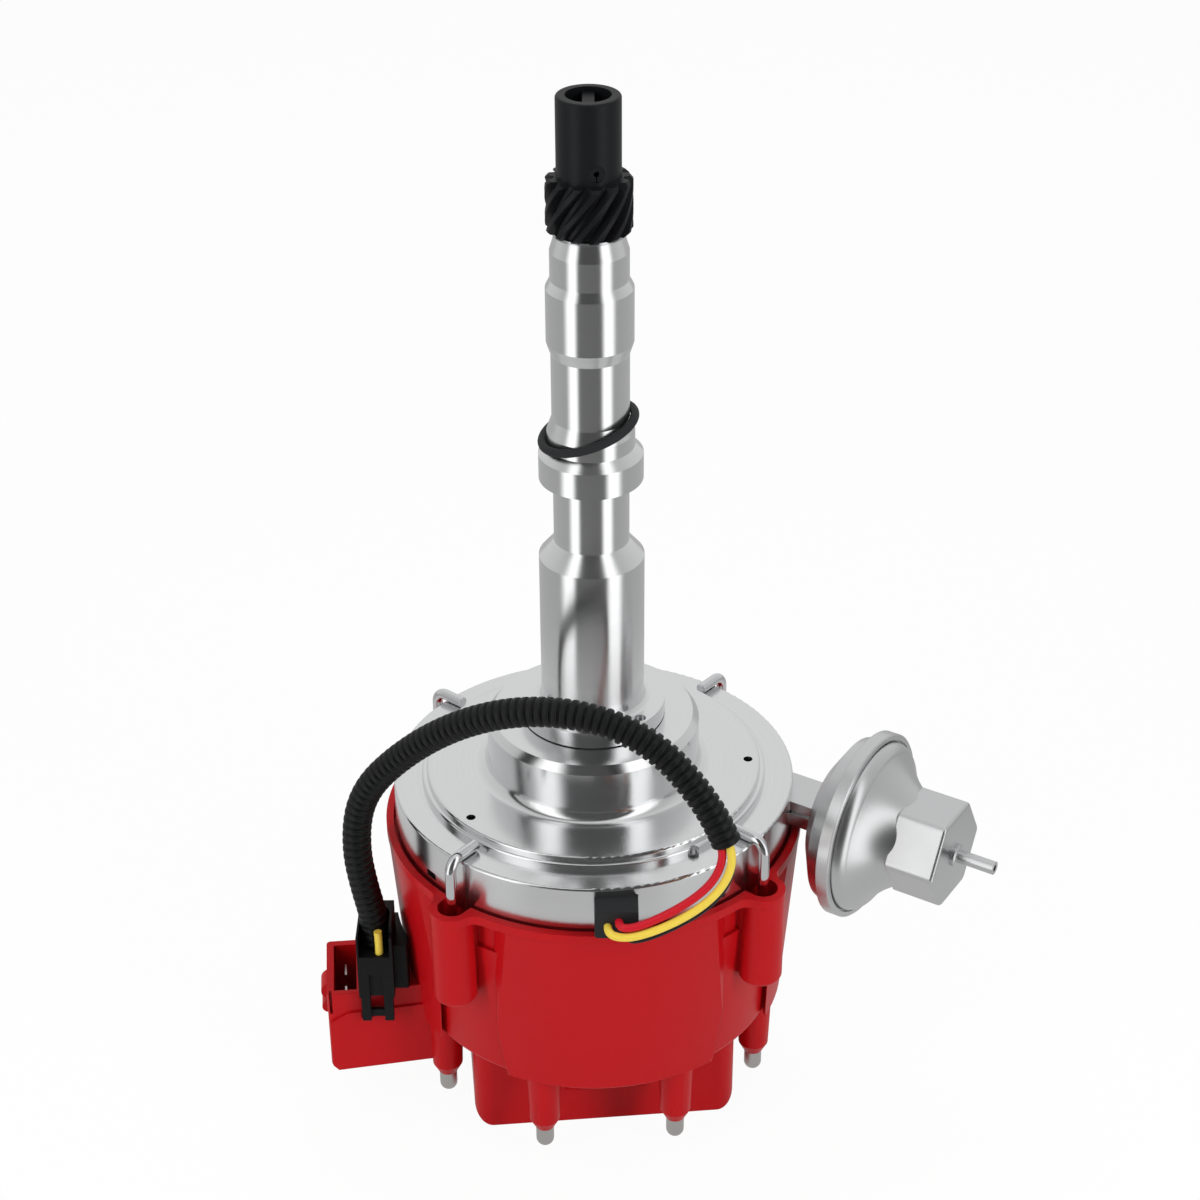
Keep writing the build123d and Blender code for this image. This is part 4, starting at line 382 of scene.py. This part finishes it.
def along_loom(distance):
    """Point and heading of the loom's centre line at a distance from the plug."""
    step = 0
    while step < len(line) - 2 and travelled[step + 1] < distance:
        step += 1
    run = line[step + 1] - line[step]
    share = (distance - travelled[step]) / run.length
    return line[step] + run * share, run.normalized()


def loom_ring(shape, centre, turn, radius, closed=False):
    """Add one ring across the loom's line and return its vertices."""
    place = Matrix.Translation(centre) @ turn.to_matrix().to_4x4()
    ring = bmesh.ops.create_circle(shape, cap_ends=closed, segments=LOOM_SIDES, radius=radius, matrix=place)
    return ring["verts"]


def ring_edges(ring):
    """Edges that join the vertices of one ring."""
    members = set(ring)
    joined = [edge for vertex in ring for edge in vertex.link_edges if edge.other_vert(vertex) in members]
    return list(dict.fromkeys(joined))


rib_count = int(loom_length / RIB_PITCH)
pitch = loom_length / rib_count
stations = [((rib + share) * pitch, height) for rib in range(rib_count) for share, height in rib_section]
stations.append((loom_length, 0.0))
shape = bmesh.new()
ahead = along_loom(0)[1]
turn = Vector((0, 0, 1)).rotation_difference(ahead)
rings = []
for distance, height in stations:
    before = ahead
    centre, ahead = along_loom(distance)
    turn = before.rotation_difference(ahead) @ turn
    rings.append(loom_ring(shape, centre, turn, GROOVE_R + (RIB_R - GROOVE_R) * height))
rings.append(loom_ring(shape, centre, turn, BORE_R))
rings.append(loom_ring(shape, along_loom(loom_length - BORE_SHOWN)[0], turn, BORE_R, closed=True))
for near, far in zip(rings, rings[1:]):
    bmesh.ops.bridge_loops(shape, edges=ring_edges(near) + ring_edges(far))
bmesh.ops.contextual_create(shape, geom=rings[0])
bmesh.ops.recalc_face_normals(shape, faces=shape.faces)
for face in shape.faces:
    face.smooth = True
loom = mesh_piece("loom", shape)
loom.data.materials.append(
    moulded("loom_plastic", (0.006, 0.0065, 0.0065), roughness=0.40, grain=700, depth=0.08 * MM, shine=0.22))
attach(loom, "housing")
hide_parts("conduit")


# The bowl and the stem.
# Both are turned from aluminium bar, so their tool marks run round the shaft.
BRUSHED = 0.5            # how far the marks draw a highlight out
BRUSHED_TURN = 0.25      # share of a turn from the marks to the highlight
MARK_STRENGTH = 0.3
BAND_WIDTH = 12          # width of a band of gloss, in marks
BAND_SPREAD = 0.15
BRIGHT_SHARE = 0.4       # brightening of a mark, as a share of its darkening


def machined(name, colour, roughness, lines, depth, uneven):
    """Turned metal: fine rings round the shaft in its colour, roughness and surface."""
    material = bpy.data.materials.new(name)
    material.use_nodes = True
    tree = material.node_tree
    surface = tree.nodes["Principled BSDF"]
    surface.inputs["Metallic"].default_value = 1.0
    surface.inputs["Anisotropic"].default_value = BRUSHED
    surface.inputs["Anisotropic Rotation"].default_value = BRUSHED_TURN
    hoop = shader_node(tree, "ShaderNodeTangent")
    hoop.direction_type = "RADIAL"
    hoop.axis = "Z"
    tree.links.new(hoop.outputs[0], surface.inputs["Tangent"])
    place = shader_node(tree, "ShaderNodeTexCoord")
    spot = shader_node(tree, "ShaderNodeSeparateXYZ", Vector=place.outputs["Object"])
    rings = shader_node(tree, "ShaderNodeCombineXYZ", X=from_shaft(tree, spot), Y=spot.outputs["Z"])
    marks = noise(tree, rings.outputs[0], lines, detail=3.0)
    bands = noise(tree, rings.outputs[0], lines / BAND_WIDTH, detail=2.0)
    tint = shader_node(tree, "ShaderNodeVectorMath", _0=colour)
    tint.operation = "SCALE"
    tree.links.new(spread(tree, marks, 1 - uneven, 1 + uneven * BRIGHT_SHARE), tint.inputs["Scale"])
    tree.links.new(tint.outputs[0], surface.inputs["Base Color"])
    gloss = spread(tree, bands, roughness * (1 - BAND_SPREAD), roughness * (1 + BAND_SPREAD))
    tree.links.new(gloss, surface.inputs["Roughness"])
    bump = shader_node(tree, "ShaderNodeBump", Strength=MARK_STRENGTH, Distance=depth, Height=marks)
    tree.links.new(bump.outputs[0], surface.inputs["Normal"])
    return material


def dress(material, *names):
    """Give CAD nodes one material in every slot."""
    for name in names:
        slots = nodes[name].data.materials
        if len(slots) == 0:
            slots.append(material)
        for index in range(len(slots)):
            slots[index] = material


turned_aluminium = machined(
    "turned_aluminium", (0.80, 0.805, 0.81), roughness=0.20, lines=2600, depth=0.01 * MM, uneven=0.06)
dress(turned_aluminium, "bowl", "stem")

# A rough screw head sits in the step at the plate's edge, to the right of the front
SCREW_R = 2.1 * MM
SCREW_HEIGHT = 2.0 * MM
SCREW_FLUTES = 6
FLUTE_DEPTH = 0.22       # share of the radius
SCREW_PLACE = (33.3 * MM, -49.9 * MM, -30.2 * MM)
shape = bmesh.new()
bmesh.ops.create_uvsphere(shape, u_segments=24, v_segments=12, radius=SCREW_R)
for vertex in shape.verts:
    around = math.atan2(vertex.co.y, vertex.co.x)
    flute = 1 - FLUTE_DEPTH * (0.5 + 0.5 * math.cos(SCREW_FLUTES * around))
    vertex.co.x *= flute
    vertex.co.y *= flute
    vertex.co.z = max(vertex.co.z, 0) * SCREW_HEIGHT / SCREW_R
bmesh.ops.remove_doubles(shape, verts=shape.verts, dist=0.02 * MM)
bmesh.ops.translate(shape, verts=shape.verts, vec=SCREW_PLACE)
bmesh.ops.recalc_face_normals(shape, faces=shape.faces)
plate_screw = mesh_piece("plate_screw", shape)
plate_screw.data.materials.append(
    machined("screw_steel", (0.34, 0.34, 0.35), roughness=0.42, lines=1800, depth=0.04 * MM, uneven=0.3))
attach(plate_screw, "housing")


# The drive gear and the shaft.
# The gear is cut with its sleeve from one steel bar and blackened. A spring pin holds it.
black_oxide = moulded("black_oxide", (0.009, 0.0095, 0.0105), roughness=0.40, grain=1500, depth=0.02 * MM)
dress(black_oxide, "drive_gear", "roll_pin", "main_shaft")
ground_steel = machined(
    "ground_steel", (0.56, 0.57, 0.58), roughness=0.25, lines=3000, depth=0.01 * MM, uneven=0.05)
dress(ground_steel, "thrust_washer")


# The seals.
# The loose ring is moulded rubber, and the hub gasket is a thin cut one.
rubber = moulded("seal_rubber", (0.022, 0.023, 0.024), roughness=0.6, grain=1200, depth=0.06 * MM)
dress(rubber, "seal_ring", "hub_gasket", "diaphragm", "arc_seal", "wire_grommet")


# The cap and the coil cover.
# Both are injection moulded in one red plastic with a satin surface.
red_plastic = moulded(
    "red_plastic", (0.45, 0.004, 0.007), roughness=0.36, grain=800, depth=0.04 * MM, shine=0.16)
dress(red_plastic, "distributor_cap", "coil_cover")


# The outlet inserts and the blades.
# The inserts are turned from soft metal, and the blades are stamped. All are pressed into the cap.
def plain_metal(name, colour, roughness, grain, depth):
    """Metal without tool marks, with a fine grain in its skin."""
    material = moulded(name, colour, roughness, grain, depth)
    material.node_tree.nodes["Principled BSDF"].inputs["Metallic"].default_value = 1.0
    return material


outlet_metal = plain_metal("outlet_metal", (0.55, 0.53, 0.51), roughness=0.34, grain=1200, depth=0.03 * MM)
dress(outlet_metal, "outlet_terminals", "connector_blades")


# The vacuum canister.
# Its shells are pressed from sheet and crimped, the nose is cast, and all have a satin skin.
canister_metal = plain_metal(
    "canister_metal", (0.66, 0.665, 0.67), roughness=0.30, grain=1800, depth=0.06 * MM)
dress(canister_metal, "canister_rear", "canister_front", "canister_bracket", "vacuum_nipple", "capacitor")


# The latches.
# Each is a bright plated rod with a hooked foot, a slotted head and a spring.
bright_plate = plain_metal("bright_plate", (0.72, 0.725, 0.735), roughness=0.10, grain=400, depth=0.01 * MM)
spring_wire = plain_metal("spring_wire", (0.42, 0.43, 0.45), roughness=0.30, grain=900, depth=0.02 * MM)
for number in range(1, 5):
    dress(bright_plate, f"latch_rod_{number}")
    dress(spring_wire, f"latch_spring_{number}")


# The harness plug.
# It is moulded in black nylon and clips over the front of the connector block.
black_nylon = moulded("black_nylon", (0.007, 0.007, 0.0075), roughness=0.40, grain=900, depth=0.06 * MM)
dress(black_nylon, "harness_plug")


# The pieces inside.
# They are only seen with the cap off: steel advance parts, potted coils and a moulded rotor.
plain_steel = plain_metal("plain_steel", (0.50, 0.51, 0.53), roughness=0.32, grain=700, depth=0.03 * MM)
dress(plain_steel, "advance_cam", "timer_core", "weight_base", "advance_weight_a", "advance_weight_b",
      "pole_piece", "pickup_plate", "vacuum_rod", "stem_screws", "rotor_screws", "bowl_screws", "cap_screws")
dress(spring_wire, "advance_spring_a", "advance_spring_b", "vacuum_spring", "button_spring")
bronze = plain_metal("bearing_bronze", (0.42, 0.27, 0.13), roughness=0.4, grain=1500, depth=0.03 * MM)
dress(bronze, "gear_end_bush", "bowl_end_bush")
brass = plain_metal("contact_brass", (0.62, 0.43, 0.16), roughness=0.3, grain=1200, depth=0.02 * MM)
dress(brass, "rotor_contact")
carbon = moulded("carbon", (0.03, 0.03, 0.032), roughness=0.5, grain=1500, depth=0.05 * MM)
dress(carbon, "carbon_button", "pickup_magnet")
rotor_plastic = moulded("rotor_plastic", (0.02, 0.02, 0.022), roughness=0.45, grain=900, depth=0.05 * MM)
dress(rotor_plastic, "rotor", "ignition_module")
core_iron = moulded("laminated_iron", (0.12, 0.12, 0.125), roughness=0.5, grain=600, depth=0.1 * MM)
dress(core_iron, "coil_core")
potting = moulded("potting", (0.09, 0.045, 0.02), roughness=0.38, grain=500, depth=0.06 * MM)
dress(potting, "coil_winding", "pickup_coil")
